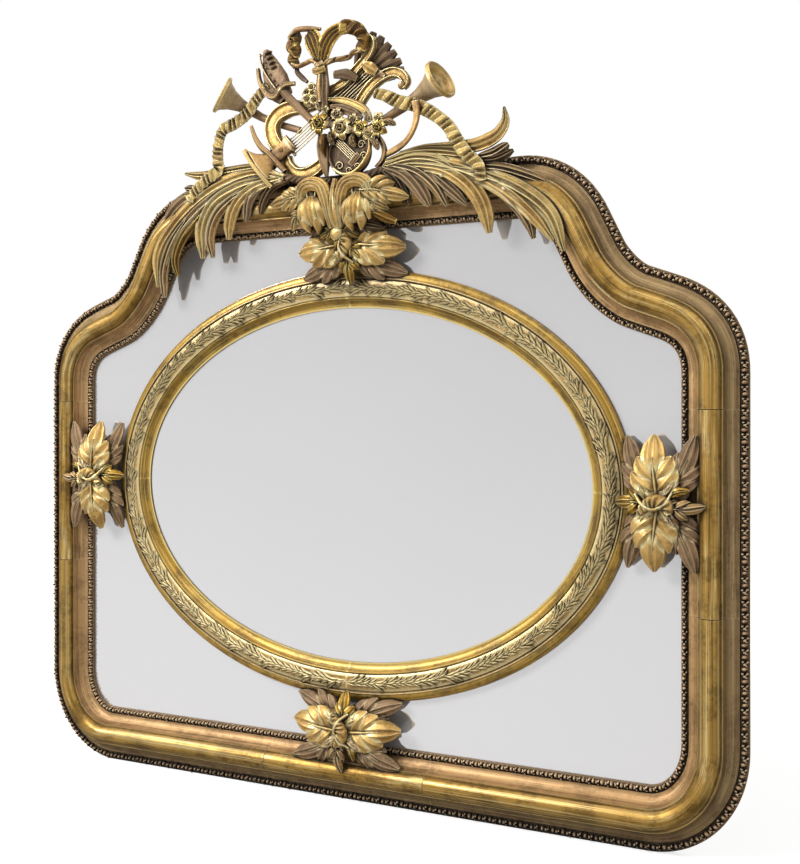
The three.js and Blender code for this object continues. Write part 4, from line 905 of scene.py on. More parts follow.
def clasp(side):
    """Broad gold leaves along the frame, dark ones towards its corners, and ribbed ones over their feet."""
    def placed(points, way=1):
        return [(*clasp_spot(side, along * way, out), FRAME_FRONT + forward)
                for along, out, forward in points]

    def laid(points, radius, thick, lobes, gold, way=1, **settings):
        return finished(leaf(placed(points, way), radius, thick, lobes, **settings), gold)

    parts = []
    for way in (1, -1):
        if side != "top":
            parts += spray(placed([(2, -18, -12), (40, 2, -12), (74, 18, -11), (108, 28, -13)], way), 27, 9,
                           grey_ground)
        parts += [
            *spray(placed([(2, -40, -14), (46, -62, -18), (80, -76, -24), (106, -84, -30)], way), 26, 9,
                   grey_ground),
            *spray(placed([(0, -28, -7), (34, -32, -3), (68, -36, -5), (108, -38, -18)], way), 36, 11,
                   pale_gold),
            laid([(4, -22, 0), (22, -8, 5), (42, 2, -2)], 12, 6, 4, worn_gold, way, notch=0.4),
            laid([(4, -40, 1), (24, -52, 3), (44, -60, -6)], 13, 6, 4, pale_gold, way, notch=0.4)]
    parts += spray(placed([(0, -42, -2), (2, -58, -2), (2, -78, -6), (0, -98, -16)]), 19, 9, bright_gold,
                   pairs=2)
    parts.append(finished(carved(
        placed([(-16, -56, 6), (-2, -44, 12), (5, -28, 13), (-1, -12, 12), (-14, -8, 9)]),
        stepped(5, 9, 11, 11, 7), stepped(5, 7, 8, 6), pleats(8, 2.4, 0.5), steps=64, columns=14), pale_gold))
    parts.append(finished(carved(
        placed([(14, -62, 4), (0, -50, 14), (-8, -32, 16), (2, -14, 14), (18, -4, 8)]),
        stepped(2.4, 3.2, 3.4, 3.0, 2), rod(5), None, steps=30, columns=8), ribbon_gold))
    if side != "top":
        parts += spray(placed([(-4, -16, 2), (-7, 4, 4), (-6, 26, 3), (-2, 46, -1)]), 15, 9, worn_gold,
                       pairs=2)
        parts.append(laid([(10, -16, 4), (20, 4, 4), (22, 22, 0)], 9, 7, 3, bright_gold))
    else:
        parts += spray(placed([(8, -30, 4), (20, -44, 5), (32, -56, 2)]), 14, 8, bright_gold, pairs=2)
    return parts


for side in CLASP_SHIFTS:
    put_up(f"{side}_clasp", clasp(side))

# ---------------------------------------------------------------- Crest

def crest(points):
    """Points drawn as [across, above the top rail's middle line, forwards from the frame's front]."""
    return [(x, RAIL_MIDDLE + up, FRAME_FRONT + forward) for x, up, forward in points]


def strand(points, widths, heights, relief, gold, **settings):
    """A carved strand of the crest in its gilding. Its half widths and heights are spread evenly along it."""
    return finished(carved(crest(points), stepped(*widths), stepped(*heights), relief, **settings), gold)


def ball(x, up, forward, size, gold, segments=12, rings=8):
    return finished(pebble((size, size, size * 0.8), crest([(x, up, forward)])[0], 0, segments, rings), gold)


FROND_WIDTHS = (0.5, 0.8, 1.0, 1.1, 1.14, 1.14, 1.1, 0.96, 0.35)
FROND_HEIGHTS = (5, 8, 8.5, 8.5, 8, 8, 7, 5)


def frond(points, width, gold):
    """A long ridged leaf that ends in a rounded tip."""
    widths = [width * 1.16 * share for share in FROND_WIDTHS]
    return strand(points, widths, FROND_HEIGHTS, ridges(3, 5.2), gold, steps=34, columns=22, edge=2.0)


LEFT_FRONDS = [
    ([(-118, 52, 4), (-170, 72, 4), (-240, 72, 4), (-300, 70, 2), (-340, 78, -2)], 7, pale_gold),
    ([(-112, 48, 8), (-170, 62, 8), (-240, 50, 8), (-300, 24, 8), (-362, -22, 5), (-404, -76, 0),
      (-408, -138, -6)], 12, pale_gold),
    ([(-150, 54, 7), (-240, 38, 7), (-310, 0, 7), (-360, -46, 3), (-384, -96, -4)], 11, worn_gold),
    ([(-240, 34, 4), (-300, -4, 4), (-346, -46, 2), (-368, -88, -4), (-364, -118, -10)], 9, bronze_gold),
    ([(-150, 50, 10), (-214, 40, 10), (-270, 14, 9), (-298, -30, 5), (-301, -88, -4)], 12, ribbon_gold),
    ([(-160, 46, 6), (-222, 22, 6), (-264, -8, 5), (-284, -50, 0), (-278, -88, -4)], 10, worn_gold),
    ([(-118, 48, 9), (-180, 36, 9), (-218, 8, 8), (-236, -28, 3), (-240, -56, -2)], 11, pale_gold),
    ([(-112, 46, 6), (-160, 42, 6), (-190, 14, 6), (-199, -26, 2)], 9, grey_ground),
    ([(-104, 44, 3), (-140, 34, 3), (-160, 8, 3), (-168, -14, 0)], 7, dark_ground),
    ([(-290, 32, 6), (-330, 28, 2), (-366, 14, -8), (-402, -14, -20)], 13, grey_ground),
    ([(-286, 34, 8), (-312, 44, 5), (-340, 50, -2)], 6, worn_gold),
    ([(-286, 30, 8), (-316, 34, 5), (-346, 38, -2)], 5, pale_gold),
    ([(-330, -10, 8), (-372, -60, 4), (-396, -110, -4), (-398, -158, -12)], 9, worn_gold),
]
RIGHT_FRONDS = [
    ([(96, 52, 8), (170, 50, 8), (250, 28, 8), (320, -12, 7), (370, -58, 3), (400, -100, -4)], 12, pale_gold),
    ([(180, 42, 7), (280, 18, 7), (350, -16, 6), (396, -58, 2), (417, -118, -6)], 11, ribbon_gold),
    ([(96, 58, 5), (150, 66, 5), (204, 62, 5), (252, 52, 5)], 8, pale_gold),
    ([(100, 50, 10), (156, 58, 10), (206, 46, 10), (236, 22, 8)], 8, pale_gold),
    ([(250, 34, 4), (310, 26, 2), (356, 10, -6), (392, -6, -16)], 8, worn_gold),
    ([(230, 26, 4), (296, 0, 4), (334, -32, 2), (358, -70, -4), (363, -94, -10)], 9, grey_ground),
    ([(150, 46, 9), (210, 34, 9), (256, 2, 8), (279, -36, 3), (286, -80, -6)], 12, pale_gold),
    ([(110, 48, 4), (176, 30, 4), (220, -4, 4), (247, -30, 0)], 9, grey_ground),
    ([(100, 52, 8), (156, 36, 8), (192, 6, 7), (211, -28, 0)], 9, worn_gold),
    ([(92, 50, 6), (130, 36, 6), (160, 6, 6), (178, -26, 0)], 11, grey_ground),
    ([(86, 46, 2), (112, 26, 2), (128, 0, 2), (138, -22, 0)], 8, dark_ground),
    ([(270, 48, 6), (297, 52, 4), (322, 67, -2)], 8, worn_gold),
    ([(268, 44, 4), (300, 44, 2), (330, 56, -4)], 6, dark_ground),
]
CURLED_LEAF = [(122, 70, 2), (170, 76, 3), (222, 72, 4), (268, 70, 5), (304, 84, 4), (317, 105, 2),
               (314, 130, -2)]
put_up("left_palm", [
    *[frond(*one) for one in LEFT_FRONDS],
    strand([(-190, 154, -2), (-180, 131, 0), (-166, 111, 1), (-146, 94, 2), (-112, 60, 3)], (3, 5, 6, 6, 5),
           (4, 6, 7, 6), ridges(2, 2), worn_gold),
    strand([(-16, 34, 2), (-66, 38, 2), (-124, 54, 3)], (7, 8, 6), (6, 7, 6), pleats(9, 1.6, 0.6),
           dark_ground, steps=72),
    *[ball(*one, worn_gold) for one in ((-292, -8, 6, 13), (-228, 30, 8, 11), (-120, 44, 8, 12))]])
put_up("right_palm", [
    *[frond(*one) for one in RIGHT_FRONDS],
    strand(CURLED_LEAF, (4, 5, 6, 9, 12, 13, 10, 2), (5, 7, 8, 9, 9, 8, 6, 3), ridges(3, 4.5), pale_gold,
           steps=60, columns=24),
    strand([(153, 158, 6), (156, 133, 6), (151, 112, 6), (138, 92, 6), (118, 79, 5), (94, 70, 3)],
           (7, 6, 5, 5, 6, 5), (4, 5, 6, 6, 5), ridges(1, 2), worn_gold, steps=44),
    strand([(16, 34, 2), (66, 40, 2), (124, 54, 3)], (7, 8, 6), (6, 7, 6), pleats(9, 1.6, 0.6), dark_ground,
           steps=72),
    strand([(62, 44, -8), (95, 35, -8), (122, 27, -8), (150, 14, -8)], (6, 9, 8, 5), (7, 8, 6),
           pleats(8, 2.4, 0.8), dark_ground, steps=64),
    *[ball(*one, worn_gold) for one in ((205, 24, 8, 12), (318, -10, 8, 12))]])

# Acanthus piece over the top rail: two volutes, with leaves that spread from between and beside them.
ARCH = [(-64, -22, 14), (-69, 4, 20), (-60, 22, 25), (-41, 27, 28), (-22, 20, 28), (-13, 0, 27),
        (-9, -26, 23), (-5, -52, 14)]
LEFT_EYE = (-44, 11, 22)
SCROLL_AXIS = 2


def turned_over(points):
    """The same points on the other side of the scroll's middle."""
    return [(2 * SCROLL_AXIS - x, up, forward) for x, up, forward in points]


def ring_round(point, radius):
    x, up, forward = point
    return [(x + radius * sin(turn), up + 1.35 * radius * cos(turn), forward)
            for turn in np.linspace(0, 2 * pi, 13)]


def volute(side):
    """An arch of ridges round a dark eye, with a broad pleated leaf that falls from it in lobes. The points
    are the left volute's, and side lays them on their own side or turned over."""
    lobes = [([(-46, 4, 23), (-44, -20, 32), (-40, -48, 24)], (9, 18, 22, 19, 5), 5),
             ([(-52, 0, 20), (-62, -20, 24), (-66, -42, 16)], (5, 10, 11, 9, 3), 2),
             ([(-36, 0, 22), (-26, -22, 28), (-20, -48, 20)], (5, 10, 11, 9, 3), 2),
             ([(-46, -22, 26), (-54, -40, 26), (-50, -58, 14)], (5, 9, 10, 7, 2), 2),
             ([(-36, -22, 26), (-30, -42, 26), (-32, -60, 14)], (5, 9, 10, 7, 2), 2)]
    return [
        strand(side(ARCH), (7, 12, 13, 13, 13, 13, 13, 10), (7, 11, 12, 12, 12, 12, 10, 8), ridges(4, 3.2),
               pale_gold, steps=70, columns=34),
        *[strand(side(points), widths, (6, 12, 12, 7), ridges(count, 2.6), pale_gold, columns=22)
          for points, widths, count in lobes],
        strand(side(ring_round(LEFT_EYE, 9)), (3.2,), (6,), None, ribbon_gold, steps=36, columns=8),
        finished(pebble((13, 19, 6), crest(side([(-44, 11, 24)]))[0], 0, 12, 8), dark_ground),
    ]


DROPS = [[(2, -56, 8), (-16, -62, 13), (-34, -70, 6)], [(10, -56, 8), (28, -62, 13), (46, -72, 6)],
         [(6, -68, 10), (10, -82, 12), (12, -98, 4)]]
put_up("acanthus_scroll", [
    *volute(list), *volute(turned_over),
    strand([(1, 32, 16), (2, 4, 24), (5, -26, 26), (8, -60, 14)], (5, 9, 12, 15, 12, 5), (8, 10, 11, 9),
           ridges(3, 3), pale_gold, steps=40, columns=24),
    *spray(crest([(-56, 10, 18), (-84, 6, 18), (-112, 2, 14), (-138, -2, 8)]), 20, 10, pale_gold),
    *spray(crest([(-58, -16, 16), (-76, -28, 16), (-92, -50, 8)]), 13, 8, ribbon_gold, pairs=2),
    *spray(crest([(56, 8, 20), (86, 6, 19), (112, -2, 14), (142, -9, 8)]), 22, 11, pale_gold),
    *spray(crest([(58, -8, 20), (80, -16, 18), (104, -28, 10)]), 15, 9, pale_gold, pairs=2),
    strand([(62, -26, 14), (84, -34, 16), (104, -44, 12), (118, -50, 8)], (4, 6, 9, 9, 5), (6, 8, 7, 5),
           ridges(2, 3), bronze_gold),
    *spray(crest([(-16, -38, 6), (-46, -48, 6), (-80, -58, 0)]), 16, 9, dark_ground),
    *spray(crest([(20, -38, 6), (54, -50, 6), (90, -58, 0)]), 16, 9, dark_ground),
    ball(4, -64, 14, 30, ribbon_gold, 16, 12),
    *[part for points in DROPS for part in spray(crest(points), 12, 8, bright_gold, pairs=2)],
])

# Lyre, leaning to the right, with its block and flared foot at the lower left.
LEFT_ARM = [(-118, 102, -10), (-137, 114, -10), (-148, 134, -10), (-149, 153, -10), (-138, 169, -10),
            (-114, 179, -10), (-62, 180, -10), (-19, 202, -9), (6, 213, -9), (31, 233, -9), (50, 250, -9),
            (60, 266, -9), (60, 281, -9), (48, 292, -10)]
RIGHT_ARM = [(-118, 90, -10), (-114, 74, -10), (-100, 58, -10), (-72, 55, -10), (-44, 68, -10),
             (-9, 102, -10), (18, 140, -10), (36, 172, -9), (50, 190, -9), (66, 204, -9), (84, 214, -9),
             (104, 218, -9), (121, 211, -9), (128, 198, -9), (121, 190, -9)]
put_up("lyre", [
    strand(LEFT_ARM, (12, 16, 16, 16, 16, 13, 10, 9, 9, 9, 9, 9, 8, 6), (9,), rims(7, 0.72, 0.13), pale_gold,
           steps=110, columns=24),
    strand(RIGHT_ARM, (10, 14, 14, 14, 11, 9, 9, 9, 10, 10, 10, 10, 9, 7), (9,), rims(7, 0.72, 0.13),
           pale_gold, steps=110, columns=24),
    ball(121, 192, -8, 15, worn_gold),
    strand([(46, 243, -9), (66, 228, -7), (88, 212, -9)], (5, 6, 5), (6, 8, 6), ridges(1, 2), worn_gold,
           steps=12),
    strand([(52, 236, -2), (63, 228, 2), (74, 220, -2)], (8, 12, 8), (6, 9, 6), ridges(2, 3.5), pale_gold,
           steps=14),
    strand([(-108, 112, -8), (-124, 100, -7), (-140, 88, -8)], (15, 15, 15), (10, 11, 10), None, worn_gold,
           steps=10, belly=0.4),
    strand([(-104, 117, -5), (-111, 111, -5)], (17,), (8,), None, worn_gold, steps=4),
    strand([(-137, 92, -5), (-143, 87, -5)], (19,), (8,), None, worn_gold, steps=4),
    ball(-122, 101, 4, 9, bronze_gold),
    strand([(-140, 89, -6), (-150, 81, 0), (-160, 73, 6), (-166, 69, 8)], (15, 18, 28, 43), (10, 11, 12, 13),
           None, worn_gold, steps=20, columns=22, belly=0.6, back=0.9),
    strand([(-195, 105, 12), (-181, 86, 17), (-167, 69, 19), (-151, 50, 17), (-136, 32, 12)], (5,),
           (6, 7, 7, 6), rims(2, 0.5, 0.25), pale_gold, steps=24, back=0.8),
])

STRING_COUNT, STRING_SPACING, STRING_RADIUS = 6, 5.6, 1.3
string_start, string_end = np.array([-108, 105]), np.array([58, 222])
string_unit = (string_end - string_start) / np.linalg.norm(string_end - string_start)
string_side = np.array([-string_unit[1], string_unit[0]])


def beside(point, offset, forward=-10):
    return (*(point + string_side * offset), forward)


def thin_rod(start, end, radius, gold, around=8):
    """A straight round rod of the crest."""
    middle = tuple((a + b) / 2 for a, b in zip(start, end))
    profile = [(0, 0.01), (0, radius), (1, radius), (1, 0.01)]
    return finished(turned(crest([start, middle, end]), profile, around, 8), gold)


offsets = [(k - (STRING_COUNT - 1) / 2) * STRING_SPACING for k in range(STRING_COUNT)]
strings = [thin_rod(beside(string_start, offset), beside(string_end, offset), STRING_RADIUS, worn_gold)
           for offset in offsets]
combs = [thin_rod(beside(end, -17), beside(end, 17), 3.2, grey_ground) for end in (string_start, string_end)]
panel_start = string_start + string_unit * 92
panel = strand([beside(panel_start, 0, -17), beside(panel_start + string_unit * 50, 0, -17),
                beside(string_end, 0, -17)], (19,), (2,), None, dark_ground, steps=8)
put_up("lyre_strings", [*strings, *combs, panel])

# Trumpets: a grey tube and bell, with a thin gilded lining that turns over its rim.
BELL = [(0, 0.01), (0, 6.5), (0.3, 6.6), (0.5, 7.5), (0.65, 9), (0.78, 13), (0.88, 19), (0.95, 27),
        (0.985, 34), (0.985, 31), (0.95, 24), (0.88, 16), (0.78, 10), (0.66, 6), (0.66, 0.01)]
LINING = [(0.7, 0.01), (0.78, 9.3), (0.88, 15.4), (0.95, 23.4), (0.97, 33), (0.975, 35.6), (1.0, 36),
          (1.008, 34), (1.0, 31), (0.97, 23), (0.9, 14), (0.8, 7), (0.72, 0.01)]


def trumpet(points):
    return [finished(turned(crest(points), BELL, around=40), grey_ground),
            finished(turned(crest(points), LINING, around=40), pale_gold)]


put_up("left_trumpet", trumpet(
    [(-96, 140, -24.5), (-165, 166, -24.5), (-216, 196, -18), (-250, 218, 8)]))
put_up("right_trumpet", trumpet(
    [(-26, 96, -24.5), (86, 144, -24.5), (152, 175, -22), (194, 196, -14)]))

# Mandolin: its pegged head and neck behind, its round body in front of the lyre.
HEAD_LINE = [(-118, 200, -12), (-132, 216, -12), (-144, 242, -12), (-153, 266, -12), (-163, 294, -12)]
PEG_SPOTS = [(-171, 280), (-167, 268), (-162, 256), (-154, 243), (-146, 231), (-137, 220), (-127, 209)]
put_up("mandolin_head", [
    strand(HEAD_LINE, (16, 25, 26, 21, 14, 5), (9, 10, 10, 9, 7), ridges(1, 2.5), grey_ground, steps=40,
           columns=22, belly=0.7),
    strand([(-172, 287, -4), (-168, 268, -3), (-158, 248, -2), (-144, 228, -2), (-128, 208, -2)], (1.6,),
           (3,), None, worn_gold, steps=24, columns=6),
    *[ball(x + 5, up + 3, -1, 4.4, dark_ground, 8, 6) for x, up in PEG_SPOTS],
    *[strand([(x, up, -8), (x + 6, up + 3, -3), (x + 11, up + 4, -9)], (2, 2.8, 2), (4, 5, 3), None,
             dark_ground, steps=8, columns=8) for x, up in ((-160, 285), (-156, 275), (-151, 265),
                                                            (-147, 256))],
    strand([(-179, 262, -10), (-174, 238, -7), (-163, 218, -5), (-149, 205, -3), (-136, 203, -1),
            (-126, 213, 1), (-113, 221, 1), (-94, 222, -2)], (3, 4, 5, 5.5, 6, 6, 5, 4), (6,),
            rims(2, 0.6, 0.2), worn_gold, steps=60),
    strand([(-124, 214, -5), (-104, 194, -1), (-88, 179, 0), (-72, 163, 1), (-56, 148, 2)], (8, 7.5, 7),
           (8, 8, 8), ridges(2, 1.6), grey_ground, steps=36),
])

MANDOLIN = (25, 80, 6)
MANDOLIN_SECTION = [(0.01, -6), (41, -6), (43, 0), (42.4, 5), (41, 7.6), (39, 8), (37.4, 7), (37, 3),
                    (35, 2.0), (31, 2.6), (29, 3.4), (27, 2.6), (22, 2.2), (20, 3.0), (18, 2.2), (0.01, 2.4)]
drum_x, drum_y, drum_z = crest([MANDOLIN])[0]


def curl(x, up, radius, way=1):
    """A small spiral on the mandolin's face."""
    turns = np.linspace(0, 2.6 * pi, 15)
    points = [(x + way * radius * (1 - turn / 11) * cos(turn), up + radius * (1 - turn / 11) * sin(turn), 9.6)
              for turn in turns]
    return strand(points, (1.3, 1.3, 0.8), (1.6,), None, worn_gold, steps=44, columns=6)


put_up("mandolin_body", [
    finished(lathed(drum_x, drum_y, drum_z, MANDOLIN_SECTION, 64), dark_ground),
    *[curl(*one) for one in ((50, 92, 8), (55, 72, 7, -1), (6, 58, 8, -1), (24, 48, 6), (42, 54, 6, -1))],
    *[thin_rod((-9 + k * 2.2, 104 + k * 2.4, 10), (30 + k * 2.2, 66 + k * 2.4, 11), 0.9, worn_gold, 6)
      for k in range(5)],
    strand([(27, 58, 9), (36, 67, 10), (45, 76, 9)], (6, 7, 6), (4, 5, 4), ridges(3, 2), grey_ground,
           steps=10),
    strand([(62, 112, 12), (68, 96, 13), (68, 80, 13), (58, 62, 13), (38, 45, 12), (14, 42, 12),
            (-6, 54, 10)], (2.5, 3, 3.2, 3.2, 3, 2.5), (5,), None, pale_gold, steps=44, columns=8),
    strand([(78, 106, 2), (88, 92, 5), (93, 76, 5), (89, 62, 4), (76, 50, 2)], (4, 5, 5, 4), (6,),
           rims(2.4, 0.6, 0.2), worn_gold, steps=30),
])

# Shell: ribs that spread from its foot, each with a rounded end.
SHELL_FOOT = (20, 205, -26)
SHELL_ENDS = ((38, 296), (57, 300), (74, 290), (89, 275), (101, 259), (111, 242), (117, 225))
shell_ribs = [strand(
    [SHELL_FOOT, ((SHELL_FOOT[0] + x) / 2, (SHELL_FOOT[1] + up) / 2, -22), (x, up, -25)],
    (3, 6, 9, 11, 12, 6), (5, 8, 9, 11, 12, 5), ridges(2, 3), dark_ground, steps=28, columns=16)
    for x, up in SHELL_ENDS]
put_up("shell", shell_ribs)

# Quiver.
put_up("quiver", [
    strand([(-34, 234, 4), (-32, 210, 6), (-32, 190, 7), (-30, 164, 5)], (8, 12, 13, 12.5, 11),
           (7, 10, 11, 10), ridges(3, 5), grey_ground, steps=30, columns=30, back=1.0),
    strand([(-33, 226, 15), (-33, 206, 17), (-31, 176, 17)], (2, 4, 3), (2, 3, 2), None, worn_gold, steps=12),
    strand([(-10, 226, 2), (14, 224, 0), (34, 214, -4)], (7, 10, 6), (5, 6, 4), ridges(2, 2), dark_ground)])


# Roses, a small cluster above them, arched leaves and a hanging drop.
def rose(x, up, forward, radius, gold, petals=5):
    """A spiral bloom with petals spread round it."""
    centre = np.array(crest([(x, up, forward)])[0])
    share = np.concatenate([np.linspace(0.001, 1, 20), [1.0, 0.6, 0.001]])[:, None]
    angle = np.linspace(0, 2 * pi, 37)[None, :]
    turn = chance.uniform(0, 2 * pi)
    core = radius * 0.72
    wave = 0.5 + 0.5 * np.sin(5 * angle + 9 * share + turn)
    rim = core * share * (1 - 0.12 * wave * share)
    rise = core * (0.78 * np.sqrt((1 - share**2).clip(0)) + 0.15 * np.sin(15 * share + angle + turn)
                   + 0.12 * np.sin(3 * angle - 8 * share))
    front = np.arange(len(share))[:, None] < 20
    rise = np.where(front, rise, -core * 0.6 * (1 - share))
    net = np.stack([rim * np.cos(angle), rim * np.sin(angle), rise], axis=2) + centre
    parts = [finished(closed_up(shaped_grid(net)), gold)]
    for k in range(petals):
        way = turn + 2 * pi * k / petals
        out = [(x + radius * reach * cos(way), up + radius * reach * sin(way), forward + lift)
               for reach, lift in ((0.3, -radius * 0.2), (0.75, radius * 0.12), (1.15, -radius * 0.28))]
        parts.append(strand(out, (radius * 0.3, radius * 0.5, radius * 0.46, radius * 0.12),
                            (radius * 0.3, radius * 0.3, radius * 0.2), rims(radius * 0.16, 0.8, 0.3), gold,
                            steps=12, columns=10))
    return parts


ROSES = [(-32, 137, 17, 17, bright_gold), (2, 150, 14, 11, worn_gold), (14, 124, 18, 18, ribbon_gold, 6),
         (52, 120, 17, 13, bright_gold), (68, 108, 15, 12, pale_gold), (86, 116, 15, 15, bright_gold),
         (84, 134, 13, 10, pale_gold), (36, 138, 14, 9, worn_gold), (-55, 208, 6, 8, pale_gold),
         (-66, 200, 5, 8, worn_gold), (-64, 188, 6, 10, pale_gold), (-48, 184, 8, 9, pale_gold),
         (-52, 197, 8, 7, bright_gold), (-36, 171, 9, 8, worn_gold), (-24, 163, 10, 7, pale_gold)]
put_up("rose_garland", [
    *[part for one in ROSES for part in rose(*one)],
    strand([(-31, 140, 14), (12, 126, 14), (62, 112, 14), (88, 118, 12)], (7,), (6,), None, dark_ground),
    *[finished(leaf(crest(points), 8, 6, 3, rib=2.6, notch=0.44), worn_gold) for points in (
        [(70, 100, 14), (80, 90, 14), (84, 78, 12)], [(90, 122, 12), (104, 126, 10), (116, 120, 6)],
        [(36, 112, 14), (34, 98, 16), (40, 88, 14)], [(-12, 120, 14), (-10, 106, 15), (-4, 96, 13)],
        [(60, 130, 12), (62, 142, 10), (58, 152, 8)])],
    strand([(-18, 181, 8), (10, 175, 10), (38, 164, 11), (57, 151, 11), (68, 132, 10)], (3, 7, 8, 8, 5),
           (4, 6, 6, 5), rims(3.4, 0.62, 0.22), pale_gold, steps=44, columns=18),
    strand([(-14, 168, 6), (12, 160, 8), (34, 150, 9), (50, 138, 9)], (4, 9, 9, 5), (4, 5, 5, 4),
           ridges(2, 2.5), grey_ground, steps=30, columns=18),
    strand([(-30, 118, 10), (-27, 84, 12), (-22, 42, 8)], (9, 13, 12, 9, 3), (5, 6, 6, 4),
           rims(3, 0.75, 0.25), grey_ground, steps=30, columns=18),
    strand([(-25, 116, 18), (-23, 98, 21), (-21, 76, 18)], (3, 7, 7.5, 4, 1.5), (4, 8, 8, 4), None,
           bronze_gold, steps=20),
])

# Bow: flat folded bands, the left one crinkled down its outer side, and a small knot.
BOW_BANDS = [
    ([(-37, 241, 4), (-40, 261, 7), (-46, 280, 8), (-54, 297, 6), (-64, 309, 0)], (4, 9, 14, 17, 17, 12),
     (4, 6, 6, 4), ridges(4, 3.4), bronze_gold),
    ([(-40, 314, -3), (-66, 317, 2), (-90, 317, 2), (-108, 306, -3)], (3, 5, 5, 4), (5, 6, 4), None,
     worn_gold),
    ([(-96, 314, -4), (-92, 302, 0), (-101, 292, -2), (-91, 281, 1), (-98, 269, -1), (-90, 252, 0)],
     (10, 13, 12, 12, 11, 8), (5,), pleats(4.5, 3.0, 0.3), bronze_gold),
    ([(-97, 257, 0), (-82, 250, 5), (-68, 255, 1), (-54, 256, 5), (-38, 245, 5)], (3, 4, 4, 4, 3), (6,), None,
     worn_gold),
    ([(-92, 254, -6), (-92, 244, -6), (-82, 232, -7), (-70, 222, -6)], (4, 5, 5, 3), (4,), None, dark_ground),
    ([(-36, 241, 5), (-31, 262, 8), (-24, 281, 9), (-14, 296, 7), (0, 306, 3), (14, 308, 0)],
     (5, 13, 16, 17, 16, 13, 9), (4, 6, 6, 4), ridges(4, 3.4), bronze_gold),
    ([(-10, 303, -4), (10, 309.5, 0), (28, 306, -2), (42, 296, 1), (48, 281, -2), (44, 261, -1)],
     (9, 13, 13, 12, 11, 9), (5,), pleats(5, 3.4, 0.3), bronze_gold),
    ([(45, 263, -1), (30, 259, 5), (20, 254, 0), (7, 251, 6), (-6, 253, 1), (-18, 250, 5), (-32, 243, 6)],
     (3, 5, 4.5, 5, 4.5, 5, 3), (5,), pleats(4, 2, 0.5), worn_gold),
    ([(-48, 237, 8), (-37, 234, 12), (-25, 238, 8)], (6, 8, 6), (6, 8, 6), ridges(2, 3), pale_gold),
    ([(-44, 248, 9), (-37, 244, 12), (-29, 249, 9)], (4, 5, 4), (5, 7, 5), ridges(1, 2), worn_gold),
]
put_up("ribbon_bow", [
    strand(points, widths, heights, relief, gold, steps=64, columns=16)
    for points, widths, heights, relief, gold in BOW_BANDS])

LEFT_RIBBON = [(-156, 228, -5), (-180, 202, -3), (-200, 178, -2), (-225, 163, 0), (-251, 152, 2),
               (-260, 126, 4), (-259, 96, 8), (-254, 76, 13), (-277, 60, 16), (-304, 40, 16), (-320, 22, 15)]
RIGHT_RIBBON = [(72, 182, 2), (92, 176, 2), (116, 163, 0), (151, 152, 0), (186, 132, 2), (214, 108, 4),
                (233, 80, 10), (252, 55, 16), (275, 31, 16), (280, 5, 15)]
for name, points, count in (("left_ribbon", LEFT_RIBBON, 26), ("right_ribbon", RIGHT_RIBBON, 22)):
    band = carved(crest(points), stepped(9, 11.5, 12, 12, 11, 12, 12, 11, 9), rod(2.2),
                  pleats(count, 3.2, 0.3), steps=count * 8, columns=10, back=1.0)
    put_up(name, [finished(band, ribbon_gold)])

# ---------------------------------------------------------------- Glass, boards and hangers

# Half of the ring's bend, from its bar down, as shares of its half width and of its height.
RING_BEND = ((1, 0), (1, 0.28), (0.93, 0.66), (0.62, 0.94), (0.2, 1))


def hanger_ring(x):
    """A bent wire that hangs from a straight bar, which turns in the strap."""
    half, drop = RING_INNER_WIDTH / 2 + RING_WIRE, RING_INNER_HEIGHT + RING_WIRE
    line = [(-half * aside, -drop * down) for aside, down in RING_BEND]
    line = [*line, *[(-across, up) for across, up in line[::-1]]]
    wire = turned([(x + across, HANGER_Z + up, -RING_DEPTH) for across, up in line],
                  [(0, 0.01), *[(share, RING_WIRE) for share in np.linspace(0, 1, 49)], (1, 0.01)], 16, 72)
    reach = half + RING_WIRE * 0.8
    bar = turned([(x - reach, HANGER_Z, -RING_DEPTH), (x, HANGER_Z, -RING_DEPTH),
                  (x + reach, HANGER_Z, -RING_DEPTH)], [(0, 0.01), (0, RING_WIRE * 0.8), (0.02, RING_WIRE),
                                                        (0.98, RING_WIRE), (1, RING_WIRE * 0.8), (1, 0.01)],
                                                        16, 20)
    return [finished(wire, hanger_steel), finished(bar, hanger_steel)]


for side, x in (("left", -HANGER_X), ("right", HANGER_X)):
    put_up(f"{side}_hanger_ring", hanger_ring(x), body=f"{side}_ring")

# Pieces whose solids stay as they are, by a part of their names.
KEPT = {"_glass": silvered_glass, "_back_board": pine_across, "crest_brace": pine_upright,
        "_hanger_": hanger_steel}
for name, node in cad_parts.items():
    for part_of_name, finish in KEPT.items():
        if part_of_name in name:
            node.data.materials.clear()
            node.data.materials.append(finish)

# ---------------------------------------------------------------- Camera, light and background

IMAGE_WIDTH, IMAGE_HEIGHT = 800, 864
FOCAL_PIXELS, PRINCIPAL_X, HORIZON_Y = 1196, 350.8, 411.5
CAMERA_TURN = radians(28)
CAMERA_DISTANCE = 2.195
AIM = Vector((0, -0.016, 0.6576))

camera = bpy.data.objects.new("camera", bpy.data.cameras.new("camera"))
bpy.context.scene.collection.objects.link(camera)
look = Vector((-sin(CAMERA_TURN), cos(CAMERA_TURN), 0))
camera.location = AIM - look * CAMERA_DISTANCE
camera.rotation_euler = look.to_track_quat("-Z", "Y").to_euler()
camera.data.lens = FOCAL_PIXELS / IMAGE_HEIGHT * camera.data.sensor_width
camera.data.shift_x = (IMAGE_WIDTH / 2 - PRINCIPAL_X) / IMAGE_HEIGHT
camera.data.shift_y = (HORIZON_Y - IMAGE_HEIGHT / 2) / IMAGE_HEIGHT
bpy.context.scene.camera = camera


